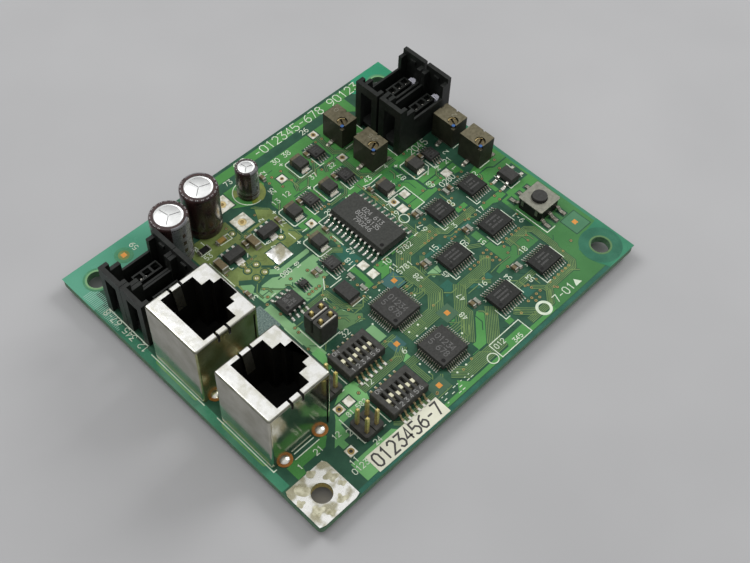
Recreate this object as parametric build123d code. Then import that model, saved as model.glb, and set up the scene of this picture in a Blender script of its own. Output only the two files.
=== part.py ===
from build123d import *
import math
import os

# A 90 x 75 mm signal board: millimetres, +X along the long edge, +Z up.
# The origin is under the middle of the board, on the plane of the lead ends.

# ---- board ----
BOARD_L, BOARD_W, BOARD_T = 90.0, 75.0, 1.6
BOARD_CORNER_R = 1.0
LEAD_OUT = 1.8              # leads stand this far out of the underside
TOP = LEAD_OUT + BOARD_T    # component side of the board
MOUNT_INSET = 5.0
MOUNT_R = 2.0

# ---- top entry network jacks ----
JACK_L, JACK_H = 14.5, 17.3
JACK_X, JACK_1_Y, JACK_PITCH = -35.85, 3.15, 19.05
SHEET, JACK_CORNER_R, JACK_TOP_R = 0.25, 0.6, 0.45
PORT_W = 12.0               # across the plug
JACK_W = PORT_W + 2.3       # wall, wires and shield beside the port
PORT_X0, PORT_X1 = -4.3, 3.2
LATCH_1_W, LATCH_1_X = 6.9, 5.1
LATCH_2_W, LATCH_2_X = 4.5, 6.8
PORT_DEPTH = 13.5
TAB_X, TAB_W, TAB_SLOT = -0.6, 2.5, 0.55
TAB_DROP = 5.5
JACK_LEG_X, JACK_LEG_W = 4.4, 1.3
JACK_LEG_HOLE_R = 0.8
WIRE_PITCH, WIRE_COUNT, WIRE_W, WIRE_T = 1.02, 8, 0.45, 0.3
WIRE_HOLE_R = 0.4

# ---- shrouded wire connectors, power and signal ----
SHROUD_H, SHROUD_W = 13.1, 6.4
POWER_X0, POWER_L, POWER_Y0, POWER_GAP = -42.4, 13.7, 12.85, 0.1
SIGNAL_X0, SIGNAL_L, SIGNAL_Y0, SIGNAL_GAP = 27.3, 15.7, 13.8, 0.6
SHROUD_END, SHROUD_WALL, SHROUD_FLOOR = 1.0, 0.5, 1.2
POST_T, POST_L, POST_LOW_L, POST_LOW_H = 0.9, 2.0, 4.4, 11.0
BACK_POST_L, BACK_POST_H = 1.5, 11.8
SIDE_H = 8.2
WINDOW_W, WINDOW_H = 3.2, 10.8
CORE_H, CORE_W, CORE_BACK = 7.0, 2.3, 2.5
CELL_PITCH, CELL = 2.0, 1.5
CELL_DEPTH, CELL_LIP, CELL_SLOT = 4.8, 1.0, 1.4
CELLS = 3
FORK_T, FORK_HOLE_R = 0.4, 0.45
KEY_W, KEY_L, KEY_RISE, KEY_Y = 1.95, 1.05, 0.3, -1.0

# ---- round electrolytic capacitors ----
CAN_R, CAN_H = 4.0, 12.2
CAN_AT = ((-24.5, 27.0), (-15.6, 28.5))
SMALL_CAN_R, SMALL_CAN_H = 2.45, 8.4
SMALL_CAN_AT = (-3.2, 28.6)
SLEEVE_T, SLEEVE_LIP = 0.14, 1.05
CAN_LEAD_R, CAN_LEAD_HOLE_R = 0.3, 0.45

# ---- adjustable resistors with a screw ----
TRIM_L, TRIM_W, TRIM_H = 4.4, 6.0, 6.7
TRIM_AT = ((22.0, 26.7), (22.0, 17.2), (39.5, 10.2), (39.3, 2.15))
TRIM_SCREW_X, TRIM_SCREW_Y, TRIM_SCREW_R = -0.75, -1.5, 1.15
TRIM_FIT, TRIM_SINK = 0.05, 0.35
TRIM_BORE_DEPTH = 2.6

# ---- slide switch blocks ----
DIP_L, DIP_W, DIP_H = 9.4, 6.3, 2.5
DIP_X, DIP_Y = -15.9, (-16.8, -28.25)
DIP_WAYS, DIP_PITCH = 6, 1.27
DIP_SLOT_W, DIP_SLOT_L = 0.76, 3.65
DIP_THROW = 0.6
DIP_ON = ((0, 3), (1, 3))

# ---- push button ----
TACT_X, TACT_Y, TACT_SIZE, TACT_H = 38.35, -16.75, 6.2, 3.2
TACT_BUTTON_R, TACT_BUTTON_H = 1.65, 3.9
TACT_LEAD_PITCH = 2.55

# ---- pin headers and shorting jumpers ----
PIN_PITCH, PIN_W, PIN_TOP = 2.54, 0.64, 6.75
HEADER_H, HEADER_GAP = 1.7, 0.3
HEADER_AT = ((-16.35, -7.55), (-24.95, -17.85), (-24.95, -28.7))
HEADER_HOLE_R = 0.55
SHUNT_L, SHUNT_W, SHUNT_TOP = PIN_PITCH + 2.36, PIN_PITCH - 0.19, 5.9

# ---- chips ----
SOIC_24_AT, SOIC_24_W, SOIC_24_L = (8.45, 4.35), 7.5, 15.4
SOIC_8_AT, SOIC_8_L, SOIC_8_W = (-16.5, 1.25), 4.9, 3.9
QFP_SIZE, QFP_X, QFP_Y = 7.0, -2.4, (-14.1, -26.85)
TSSOP_W = 4.4
TSSOP_20_X, TSSOP_20_Y = (15.4, 28.15), (-13.6, -27.0)
TSSOP_16_AT, TSSOP_14_AT = (32.4, -3.35), (22.3, -3.35)
MSOP_AT = ((4.7, 17.7), (14.85, 26.7), (14.85, 17.5), (32.4, 8.9), (-3.7, 2.5))
MINI_AT = (-11.3, 2.9)
REGULATOR_AT = ((-16.6, 17.8), (-7.4, 17.8))
RECTIFIER_AT = (39.9, -7.1)
OSCILLATOR_AT = (-6.6, -4.7)
TANTALUM_AT = ((9.75, 26.6), (-0.2, 17.8), (9.7, 17.6), (-1.9, 8.4), (18.35, 9.05), (27.5, 9.1))

ROOT_IN = 0.1               # a fine lead starts this far inside its body

# ---- small chip parts ----
CHIP_L, CHIP_W = 1.6, 0.85
CHIP_CAP_AT = ((9.5, -10.6), (9.5, -24.0), (22.3, -10.5), (22.3, -24.0), (17.7, -0.4), (28.55, -0.4),
               (-13.0, 18.5), (-3.95, 18.5), (2.7, 19.1), (12.85, 19.0), (12.85, 27.75), (1.5, 29.4),
               (30.4, 10.15), (15.85, 11.0), (1.5, 9.9), (-7.85, 3.3), (-20.9, 8.7))
CHIP_RES_AT = ((10.75, -10.6), (10.75, -24.1), (23.55, -10.5), (23.55, -24.1), (18.95, -0.4),
               (27.3, -0.4), (-6.65, 3.4), (-3.0, -2.3), (-3.1, -6.0))
CERAMIC_AT = ((-20.25, 17.65), (-11.5, 17.6))
SENSE_AT = (-20.0, 23.2)
AMBER_AT = (-15.9, 22.6)

# ---- paper label ----
LABEL_AT, LABEL_L, LABEL_W, LABEL_T, LABEL_TURN = (-20.4, -35.05), 18.4, 4.0, 0.1, -1.2


# ------------------------------------------------------------------ helpers
def save(node, *solids):
    """Write one node of one or more solids."""
    shape = solids[0] if len(solids) == 1 else Compound(children=list(solids))
    export_step(shape, f"parts/{node}.step")


def block(x0, x1, y0, y1, z0, z1):
    """A box from its six faces, heights above the lead ends."""
    return Pos((x0 + x1) / 2, (y0 + y1) / 2, (z0 + z1) / 2) * Box(x1 - x0, y1 - y0, z1 - z0)


def column(length, width, z0, z1, at=(0, 0)):
    """An upright box centred on a point of the board."""
    return Pos(at[0], at[1], (z0 + z1) / 2) * Box(length, width, z1 - z0)


def rod(radius, z0, z1, at=(0, 0)):
    """An upright round bar."""
    return Pos(at[0], at[1], (z0 + z1) / 2) * Cylinder(radius, z1 - z0)


def wire(radius, z0, z1, at=(0, 0)):
    """A thin upright wire or drilled lead hole, kept light with eight sides."""
    return Pos(at[0], at[1], z0) * extrude(RegularPolygon(radius, 8), amount=z1 - z0)


def ribbon(path, thickness, width):
    """Strip metal bent along a path in the X-Z plane, width along Y."""
    left, right = [], []
    for i, (x, z) in enumerate(path):
        before = path[max(i - 1, 0)]
        after = path[min(i + 1, len(path) - 1)]
        a = math.atan2(z - before[1], x - before[0]) if i else None
        b = math.atan2(after[1] - z, after[0] - x) if i < len(path) - 1 else None
        turn = b if a is None else a if b is None else (a + b) / 2
        reach = thickness / 2
        if a is not None and b is not None:
            reach /= math.cos((b - a) / 2)
        dx, dz = -math.sin(turn) * reach, math.cos(turn) * reach
        left.append((x + dx, z + dz))
        right.append((x - dx, z - dz))
    face = make_face(Polyline(*left, *reversed(right), close=True))
    return extrude(Plane.XZ * face, amount=width / 2, both=True)


def plate_xz(points, y0, y1):
    """A flat plate cut to an outline in the X-Z plane."""
    face = make_face(Polyline(*points, close=True))
    return Pos(0, y1, 0) * extrude(Plane.XZ * face, amount=y1 - y0)


def slab(length, width, z0, z1, draft):
    """A moulded body: a straight band at mid height, drafted above and below it."""
    middle, band = (z0 + z1) / 2, 0.15
    body = column(length, width, middle - band, middle + band)
    face = Rectangle(length, width)
    slope = 90 - math.degrees(math.atan2(z1 - middle - band, draft))
    body += extrude(Pos(0, 0, middle + band) * face, amount=z1 - middle - band, taper=slope)
    body += extrude(Pos(0, 0, middle - band) * face, amount=-(middle - band - z0), taper=slope)
    return body


def gull(reach, height, foot, thickness, width, shoulder):
    """One formed lead, root at x = 0, foot flat on the board."""
    low = TOP + thickness / 2
    path = [(0, TOP + height), (shoulder, TOP + height), (reach - foot, low), (reach, low)]
    return ribbon(path, thickness, width)


def fine_lead(reach, height, thickness, width, foot=0.0):
    """A fine-pitch lead: straight down from inside the body edge, with or without a foot."""
    low = TOP + thickness / 2
    fall = (TOP + height - low) / (reach - foot)
    path = [(-ROOT_IN, TOP + height + fall * ROOT_IN), (reach - foot, low)]
    if foot:
        path.append((reach, low))
    return ribbon(path, thickness, width)


def row(lead, count, pitch, edge, turn):
    """A row of leads along one side of a chip; turn 0 faces +X."""
    start = -pitch * (count - 1) / 2
    return [Rot(0, 0, turn) * Pos(edge, start + pitch * i, 0) * lead for i in range(count)]


def chip(body, leads, at, turn=0):
    """A chip in one solid with its leads, set down on the board."""
    whole = body
    for lead in leads:
        whole += lead
    return Pos(at[0], at[1], 0) * Rot(0, 0, turn) * whole


def grid_2x2(at, pitch):
    """Four places round a point."""
    half = pitch / 2
    return [(at[0] + sx * half, at[1] + sy * half) for sy in (-1, 1) for sx in (-1, 1)]


# ------------------------------------------------------------------ jacks
def jack_places():
    """The two jacks stand in a row down the left edge."""
    return [(JACK_X, JACK_1_Y), (JACK_X, JACK_1_Y - JACK_PITCH)]


def port_outline(grow=0.0):
    """Stepped opening for the plug and its latch, as overlapping rectangles."""
    x0 = PORT_X0 - grow
    steps = ((PORT_X1, PORT_W), (LATCH_1_X, LATCH_1_W), (LATCH_2_X, LATCH_2_W))
    return [(x0, x1 + grow, width / 2 + grow) for x1, width in steps]


def jack_shield():
    """Folded sheet can, open below, with the port, spring tabs and board legs."""
    roof = TOP + JACK_H
    outer = column(JACK_L, JACK_W, TOP, roof)
    can = fillet(outer.edges().filter_by(Axis.Z), JACK_CORNER_R)
    can = fillet(can.faces().sort_by(Axis.Z)[-1].edges(), JACK_TOP_R)
    can -= column(JACK_L - 2 * SHEET, JACK_W - 2 * SHEET, TOP, roof - SHEET)
    for x0, x1, half in port_outline():
        can -= block(x0, x1, -half, half, roof - SHEET, roof)
    for side in (-1, 1):
        for x in (TAB_X - TAB_W / 2, TAB_X + TAB_W / 2):
            slot = block(x - TAB_SLOT / 2, x + TAB_SLOT / 2, PORT_W / 2 - 0.1, JACK_W / 2, roof - 1.9, roof)
            can -= slot if side > 0 else mirror(slot, Plane.XZ)
    seam = JACK_L / 2 - 1.1
    can -= block(seam, seam + 0.35, -JACK_W / 2, -JACK_W / 2 + SHEET, TOP, roof - 1.6)
    inner = PORT_W / 2
    tab = ribbon([(inner, roof - SHEET), (inner - 0.25, roof - 1.2), (inner - 0.9, roof - TAB_DROP)],
                 SHEET, TAB_W - TAB_SLOT)
    for side in (-1, 1):
        can += Pos(TAB_X, 0, 0) * Rot(0, 0, 90 * side) * Pos(0.1, 0, 0) * tab
        for x in (-JACK_LEG_X, JACK_LEG_X):
            y = side * (JACK_W - SHEET) / 2
            can += block(x - JACK_LEG_W / 2, x + JACK_LEG_W / 2, y - SHEET / 2, y + SHEET / 2, 0, TOP + 0.5)
    return can


def wire_shift(i):
    """Every second contact wire goes down in a second row of holes."""
    return 2.3 if i % 2 else 0.0


def wire_path(i):
    """Contact wire: up the wall of the port, over, and down across it as a spring."""
    x = PORT_X0 - 0.3
    crest = TOP + JACK_H - 3.2
    path = [(x, crest), (x + 0.7, crest + 0.5), (x + 3.2, crest - 6.5)]
    under = TOP + 1.0
    if wire_shift(i):
        return [(x + wire_shift(i), 0), (x + wire_shift(i), under), (x, under)] + path
    return [(x, 0)] + path


def jack_contacts():
    """Eight spring wires of one jack."""
    first = -WIRE_PITCH * (WIRE_COUNT - 1) / 2
    return [Pos(0, first + WIRE_PITCH * i, 0) * ribbon(wire_path(i), WIRE_T, WIRE_W)
            for i in range(WIRE_COUNT)]


def jack_insert():
    """Moulded core of the jack: the stepped well, wire grooves and tab pockets."""
    fit = 0.06
    roof = TOP + JACK_H - SHEET - fit
    core = column(JACK_L - 2 * (SHEET + fit), JACK_W - 2 * (SHEET + fit), TOP, roof)
    well = roof - PORT_DEPTH
    for x0, x1, half in port_outline(grow=0.02):
        core -= block(x0, min(x1, JACK_L / 2 - SHEET - 0.25), -half, half, well, roof)
    first = -WIRE_PITCH * (WIRE_COUNT - 1) / 2
    for i in range(WIRE_COUNT):
        y = first + WIRE_PITCH * i
        half = WIRE_W / 2 + 0.08
        core -= block(PORT_X0 - 0.6, PORT_X0 + 0.8, y - half, y + half, TOP, roof)
        if wire_shift(i):
            core -= block(PORT_X0 - 0.6, PORT_X0 + wire_shift(i), y - half, y + half, TOP, TOP + 1.3)
    for side in (-1, 1):
        y = side * (PORT_W / 2)
        core -= block(TAB_X - TAB_W / 2, TAB_X + TAB_W / 2, y - 0.6, y + 0.6, roof - TAB_DROP, roof)
    return core


def jack_holes():
    """Leg and wire holes in the board."""
    holes = []
    first = -WIRE_PITCH * (WIRE_COUNT - 1) / 2
    for cx, cy in jack_places():
        for x in (-JACK_LEG_X, JACK_LEG_X):
            holes += [(cx + x, cy + side * (JACK_W - SHEET) / 2, JACK_LEG_HOLE_R) for side in (-1, 1)]
        for i in range(WIRE_COUNT):
            holes.append((cx + PORT_X0 - 0.3 + wire_shift(i), cy + first + WIRE_PITCH * i, WIRE_HOLE_R))
    return holes


# ------------------------------------------------------------------ shrouded connectors
def core_x(length):
    """Ends of the contact block, from the open end of the shroud."""
    end = length - CORE_BACK
    return end - CELLS * CELL_PITCH, end


def cell_centres(length):
    """Contact positions along the block."""
    start = core_x(length)[0] + CELL_PITCH / 2
    return [start + CELL_PITCH * i for i in range(CELLS)]


def shroud(length):
    """Housing with tall latch walls at both ends and low sides, x from its outer end."""
    half = SHROUD_W / 2
    outline = [(0, 0), (length, 0), (length, SHROUD_H), (length - SHROUD_END, SHROUD_H),
               (length - SHROUD_END, BACK_POST_H), (length - SHROUD_END - BACK_POST_L, BACK_POST_H),
               (length - SHROUD_END - BACK_POST_L, SIDE_H), (POST_LOW_L, SIDE_H), (POST_LOW_L, POST_LOW_H),
               (POST_L, POST_LOW_H), (POST_L, SHROUD_H), (0, SHROUD_H)]
    body = plate_xz(outline, -half, half)
    body -= block(SHROUD_END, length - SHROUD_END, -half + POST_T, half - POST_T, SHROUD_FLOOR, SHROUD_H)
    body -= block(POST_LOW_L, length - SHROUD_END - BACK_POST_L, -half + SHROUD_WALL, half - SHROUD_WALL,
                  SHROUD_FLOOR, SHROUD_H)
    body -= block(0, SHROUD_END, -WINDOW_W / 2, WINDOW_W / 2, 0, WINDOW_H)
    x0, x1 = core_x(length)
    body += block(x0, x1, -CORE_W / 2, CORE_W / 2, 0, CORE_H)
    for x in cell_centres(length):
        body -= column(CELL, CELL, CORE_H - CELL_LIP, CORE_H, (x, 0))
        body -= column(CELL_SLOT, FORK_T + 0.3, CORE_H - CELL_DEPTH, CORE_H, (x, 0))
        body -= column(0.7, FORK_T + 0.2, 0, CORE_H, (x, 0))
    wedge = length - SHROUD_END
    body += block(wedge - 0.35, wedge, -0.7, 0.7, SHROUD_H - 2.2, SHROUD_H - 1.3)
    return Pos(0, 0, TOP) * body


def fork():
    """Forked contact: a tail through the board and two tines up in the cell."""
    low, high = TOP + CORE_H - CELL_DEPTH, TOP + CORE_H - 1.0
    outline = [(-0.25, 0), (0.25, 0), (0.25, low + 0.3), (0.65, low + 0.3), (0.65, high), (0.25, high),
               (0.25, low + 1.0), (-0.25, low + 1.0), (-0.25, high), (-0.65, high), (-0.65, low + 0.3),
               (-0.25, low + 0.3)]
    return plate_xz(outline, -FORK_T / 2, FORK_T / 2)


def coding_key(length):
    """Light plastic key pushed in beside the contact block of a signal connector."""
    x0 = core_x(length)[1]
    high = TOP + CORE_H
    foot = block(x0, x0 + KEY_L, KEY_Y - KEY_W / 2, KEY_Y + KEY_W / 2, TOP + SHROUD_FLOOR, high)
    head = block(x0 + 0.2, x0 + KEY_L, KEY_Y - KEY_W / 2, KEY_Y + KEY_W / 2 - 0.6, high, high + KEY_RISE)
    return foot + head


def pair_rows(low, gap):
    """Row positions of two connectors side by side, the upper one first."""
    return [low + SHROUD_W / 2 + k * (SHROUD_W + gap) for k in (1, 0)]


def connector_sets():
    """Start, length and row position of all four shrouded connectors."""
    power = [(POWER_X0, POWER_L, y) for y in pair_rows(POWER_Y0, POWER_GAP)]
    signal = [(SIGNAL_X0, SIGNAL_L, y) for y in pair_rows(SIGNAL_Y0, SIGNAL_GAP)]
    return power, signal


def contact_places():
    """Every contact of the shrouded connectors."""
    power, signal = connector_sets()
    return [(x0 + x, y) for x0, length, y in power + signal for x in cell_centres(length)]


# ------------------------------------------------------------------ capacitors
def capacitor_can(radius, height, pitch):
    """Aluminium can with a scored top and two leads: one sealed part."""
    r = radius - SLEEVE_T - 0.02
    z0, z1 = TOP + 0.3, TOP + height - 0.1
    can = rod(r, z0, z1)
    for turn in (100, 220, 340):
        score = Pos(0, 0, z1) * Rot(0, 0, turn) * Pos(r * 0.32, 0, 0) * Box(r * 0.64, 0.18, 0.2)
        can -= score
    for x in (-pitch / 2, pitch / 2):
        can += wire(CAN_LEAD_R, 0, z0, (x, 0))
    return can


def capacitor_sleeve(radius, height):
    """Shrunk film sleeve, turned in over the rim."""
    r, t = radius, SLEEVE_T
    lip = radius * SLEEVE_LIP / CAN_R
    z0, z1 = TOP + 0.1, TOP + height
    profile = [(r - t, z0), (r, z0), (r, z1 - 0.35), (r - 0.35, z1), (r - lip, z1), (r - lip, z1 - 0.08),
               (r - t, z1 - 0.08)]
    return revolve(Plane.XZ * make_face(Polyline(*profile, close=True)), Axis.Z)


def can_holes():
    """Lead holes of the three capacitors."""
    large = [(x + s * 1.75, y, CAN_LEAD_HOLE_R) for x, y in CAN_AT for s in (-1, 1)]
    x, y = SMALL_CAN_AT
    return large + [(x + s, y, CAN_LEAD_HOLE_R) for s in (-1, 1)]


# ------------------------------------------------------------------ trimmers
def trimmer_body():
    """Sealed body with a screw bore near one corner, and three board terminals."""
    body = column(TRIM_L, TRIM_W, TOP + 0.2, TOP + TRIM_H)
    screw = (TRIM_SCREW_X, TRIM_SCREW_Y)
    high = TOP + TRIM_H
    body -= rod(TRIM_SCREW_R + TRIM_FIT, high - TRIM_BORE_DEPTH, high, screw)
    body -= block(-TRIM_L / 2, -TRIM_L / 2 + 0.8, -TRIM_W / 2, -TRIM_W / 2 + 0.8, high - 0.9, high)
    body -= block(TRIM_L / 2 - 0.3, TRIM_L / 2, -0.35, 0.15, high - 0.8, high)
    hook = ribbon([(0, TOP + 0.35), (0.45, TOP + 0.35), (0.8, TOP + 0.12), (1.5, TOP + 0.12)], 0.24, 0.9)
    body += Rot(0, 0, 180) * Pos(TRIM_L / 2, 0, 0) * hook
    for y in (-TRIM_W / 2 + 0.5, TRIM_W / 2 - 0.5):
        body += Pos(TRIM_L / 2, y, 0) * hook
    return body


def trimmer_screw():
    """Slotted adjusting screw sunk in its bore, on its own axis."""
    high = TOP + TRIM_H
    head = rod(TRIM_SCREW_R, high - TRIM_BORE_DEPTH + 0.05, high - TRIM_SINK)
    head = chamfer(head.faces().sort_by(Axis.Z)[-1].edges(), 0.15)
    return head - column(3 * TRIM_SCREW_R, 0.4, high - TRIM_SINK - 0.7, high)


# ------------------------------------------------------------------ slide switches
def dip_slots():
    """Slot positions along the block."""
    return [DIP_PITCH * (i - (DIP_WAYS - 1) / 2) for i in range(DIP_WAYS)]


def dip_body():
    """Switch block with six slots, a wider channel under each, and twelve leads."""
    high = TOP + DIP_H
    body = column(DIP_L, DIP_W, TOP + 0.25, high)
    body = chamfer(body.faces().sort_by(Axis.Z)[-1].edges(), 0.15)
    for x in dip_slots():
        body -= column(DIP_SLOT_W, DIP_SLOT_L, high - 1.1, high, (x, 0))
        body -= column(DIP_PITCH - 0.2, DIP_SLOT_L - 0.4, high - 1.6, high - 1.1, (x, 0))
    lead = gull(1.25, 0.8, 0.65, 0.2, 0.42, shoulder=0.3)
    for turn in (-90, 90):
        for item in row(lead, DIP_WAYS, DIP_PITCH, DIP_W / 2, turn):
            body += item
    return body


def dip_slider(on):
    """One slider: the knob in the slot on a wider shoe in the channel."""
    high = TOP + DIP_H
    y = DIP_THROW / 2 if on else -DIP_THROW / 2
    knob = column(DIP_SLOT_W - 0.1, 0.9, high - 1.15, high - 0.12)
    shoe = column(DIP_PITCH - 0.32, 1.9, high - 1.56, high - 1.14)
    return Pos(0, y, 0) * (knob + shoe)


# ------------------------------------------------------------------ push button
def tact_base():
    """Moulded base with a well for the dome and three leads each side."""
    high = TOP + TACT_H - 0.3
    base = column(TACT_SIZE, TACT_SIZE, TOP + 0.05, high)
    base = chamfer(base.edges().filter_by(Axis.Z), 0.5)
    base -= rod(TACT_BUTTON_R + 0.45, TOP + 1.2, high)
    lead = gull(2.4, 0.7, 1.3, 0.3, 0.8, shoulder=0.4)
    for turn in (-90, 90):
        for item in row(lead, 3, TACT_LEAD_PITCH, TACT_SIZE / 2, turn):
            base += item
    return base


def tact_cover():
    """Stamped cover plate with the button hole and four corner clips."""
    low, high = TOP + TACT_H - 0.3, TOP + TACT_H
    plate = column(TACT_SIZE + 0.2, TACT_SIZE + 0.2, low, high)
    plate = chamfer(plate.edges().filter_by(Axis.Z), 0.25)
    plate -= rod(TACT_BUTTON_R + 0.08, low, high)
    half = TACT_SIZE / 2
    for sx in (-1, 1):
        for y in (-1.9, 1.9):
            inner, outer = sorted((sx * half, sx * (half + 0.1)))
            plate += block(inner, outer, y - 0.35, y + 0.35, low - 1.6, low)
    return plate


def tact_button():
    """Round plunger on a wider collar held under the cover."""
    low = TOP + TACT_H - 0.3
    stem = rod(TACT_BUTTON_R, low - 0.7, TOP + TACT_BUTTON_H)
    stem = chamfer(stem.faces().sort_by(Axis.Z)[-1].edges(), 0.12)
    return stem + rod(TACT_BUTTON_R + 0.35, low - 0.7, low - 0.05)


# ------------------------------------------------------------------ headers
def header_body():
    """Two by two pin strip, scored between the rows."""
    size = 2 * PIN_PITCH - HEADER_GAP
    body = column(size, size, TOP, TOP + HEADER_H)
    body = chamfer(body.edges().filter_by(Axis.Z), 0.4)
    body -= column(0.2, size, TOP + HEADER_H - 0.3, TOP + HEADER_H)
    for x, y in grid_2x2((0, 0), PIN_PITCH):
        body -= column(PIN_W, PIN_W, TOP, TOP + HEADER_H, (x, y))
    return body


def header_pin():
    """Square pin with a blunt point."""
    pin = column(PIN_W, PIN_W, 0, TOP + PIN_TOP)
    return chamfer(pin.faces().sort_by(Axis.Z)[-1].edges(), 0.15)


def shunt():
    """Jumper cap over one pair of pins, open at the top, with a slot for its clip."""
    low = TOP + HEADER_H
    cap = column(SHUNT_L, SHUNT_W, low, TOP + SHUNT_TOP)
    cap = chamfer(cap.edges().filter_by(Axis.Z), 0.25)
    for x in (-PIN_PITCH / 2, PIN_PITCH / 2):
        cap -= column(1.15, 1.15, low, TOP + SHUNT_TOP, (x, 0))
    return cap - block(-SHUNT_L / 2 + 0.4, SHUNT_L / 2 - 0.4, -SHUNT_W / 2 + 0.2, -SHUNT_W / 2 + 0.62,
                       low + 0.6, TOP + SHUNT_TOP)


def shunt_clip():
    """Spring strip of the jumper, its edge showing along the slot."""
    return block(-SHUNT_L / 2 + 0.45, SHUNT_L / 2 - 0.45, -SHUNT_W / 2 + 0.25, -SHUNT_W / 2 + 0.57,
                 TOP + HEADER_H + 0.65, TOP + SHUNT_TOP - 0.05)


# ------------------------------------------------------------------ chips
def soic(length, width, height, pins, span):
    """Small outline chip, length along Y and leads on the X sides."""
    body = slab(width, length, TOP + 0.15, TOP + height, 0.3)
    middle = (0.15 + height) / 2
    lead = gull((span - width) / 2, middle, 0.7, 0.2, 0.42, shoulder=0.4)
    return body, row(lead, pins, 1.27, width / 2, 0) + row(lead, pins, 1.27, width / 2, 180)


def fine_chip(length, width, height, pins, pitch, span, lead_w, foot=0.0):
    """Fine pitch chip, leads on the Y sides."""
    body = slab(length, width, TOP + 0.1, TOP + height, 0.2)
    lead = fine_lead((span - width) / 2, (0.1 + height) / 2, 0.15, lead_w, foot)
    return body, row(lead, pins, pitch, width / 2, 90) + row(lead, pins, pitch, width / 2, -90)


def quad_flat():
    """Quad flat chip with twelve leads a side."""
    body = slab(QFP_SIZE, QFP_SIZE, TOP + 0.1, TOP + 1.5, 0.15)
    lead = fine_lead(1.0, 0.8, 0.15, 0.22)
    leads = []
    for turn in (0, 90, 180, 270):
        leads += row(lead, 12, 0.5, QFP_SIZE / 2, turn)
    return body, leads


def regulator():
    """Three legs on one side and a wide tab on the other."""
    body = slab(4.5, 2.5, TOP + 0.02, TOP + 1.5, 0.2)
    leads = [block(x - 0.22, x + 0.22, 0.9, 2.05, TOP, TOP + 0.4) for x in (-1.5, 0, 1.5)]
    return body, leads + [block(-0.85, 0.85, -1.9, -0.9, TOP, TOP + 0.4)]


def rectifier():
    """Four-legged bridge package."""
    body = slab(3.1, 4.3, TOP + 0.1, TOP + 1.8, 0.25)
    lead = gull(1.75, 0.95, 0.9, 0.2, 0.65, shoulder=0.35)
    return body, row(lead, 2, 2.5, 1.55, 0) + row(lead, 2, 2.5, 1.55, 180)


def tantalum():
    """Moulded tantalum capacitor with folded end terminals."""
    body = slab(2.8, 3.5, TOP + 0.1, TOP + 1.9, 0.12)
    return body, [block(-1.1, 1.1, y - 0.1, y + 0.1, TOP, TOP + 1.0) for y in (-1.75, 1.75)]


def oscillator():
    """Crystal in a dark moulded case on end terminals."""
    body = slab(3.2, 4.6, TOP + 0.25, TOP + 1.5, 0.15)
    return body, [block(-1.3, 1.3, y - 0.35, y + 0.35, TOP, TOP + 0.25) for y in (-2.15, 2.15)]


def chip_part(height, length=CHIP_L, width=CHIP_W):
    """Chip capacitor or resistor, length along Y."""
    return column(width, length, TOP, TOP + height)


def place(solid, spots, turn=0):
    """Copies of one part at several spots."""
    return [Pos(x, y, 0) * Rot(0, 0, turn) * solid for x, y in spots]


# ------------------------------------------------------------------ board
def board():
    """Bare laminate with mounting holes and every lead hole."""
    panel = column(BOARD_L, BOARD_W, LEAD_OUT, TOP)
    panel = fillet(panel.edges().filter_by(Axis.Z), BOARD_CORNER_R)
    x, y = BOARD_L / 2 - MOUNT_INSET, BOARD_W / 2 - MOUNT_INSET
    for sx in (-1, 1):
        for sy in (-1, 1):
            panel -= rod(MOUNT_R, LEAD_OUT, TOP, (sx * x, sy * y))
    holes = jack_holes() + can_holes()
    holes += [(px, py, FORK_HOLE_R) for px, py in contact_places()]
    for at in HEADER_AT:
        holes += [(px, py, HEADER_HOLE_R) for px, py in grid_2x2(at, PIN_PITCH)]
    for hx, hy, r in holes:
        panel -= wire(r, LEAD_OUT, TOP, (hx, hy))
    return panel


# ------------------------------------------------------------------ nodes
def save_jacks():
    wires = []
    for number, (x, y) in enumerate(jack_places(), 1):
        save(f"jack_{number}_shield", Pos(x, y, 0) * jack_shield())
        save(f"jack_{number}_insert", Pos(x, y, 0) * jack_insert())
        wires += [Pos(x, y, 0) * wire for wire in jack_contacts()]
    save("jack_contacts", *wires)


def save_connectors():
    power, signal = connector_sets()
    for number, (x0, length, y) in enumerate(power, 1):
        save(f"power_connector_{number}", Pos(x0, y, 0) * shroud(length))
    for number, (x0, length, y) in enumerate(signal, 1):
        save(f"signal_connector_{number}", Pos(x0, y, 0) * shroud(length))
    save("coding_keys", *[Pos(x0, y, 0) * coding_key(length) for x0, length, y in signal])
    save("connector_contacts", *[Pos(x, y, 0) * fork() for x, y in contact_places()])


def save_capacitors():
    save("large_capacitors", *place(capacitor_can(CAN_R, CAN_H, 3.5), CAN_AT))
    save("large_capacitor_sleeves", *place(capacitor_sleeve(CAN_R, CAN_H), CAN_AT))
    save("small_capacitor", *place(capacitor_can(SMALL_CAN_R, SMALL_CAN_H, 2.0), [SMALL_CAN_AT]))
    save("small_capacitor_sleeve", *place(capacitor_sleeve(SMALL_CAN_R, SMALL_CAN_H), [SMALL_CAN_AT]))


def save_trimmers():
    save("trimmers", *place(trimmer_body(), TRIM_AT))
    screw = trimmer_screw()
    for number, (x, y) in enumerate(TRIM_AT, 1):
        turned = Rot(0, 0, 65 if number % 2 else 20) * screw
        save(f"trimmer_screw_{number}", Pos(x + TRIM_SCREW_X, y + TRIM_SCREW_Y, 0) * turned)


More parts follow.
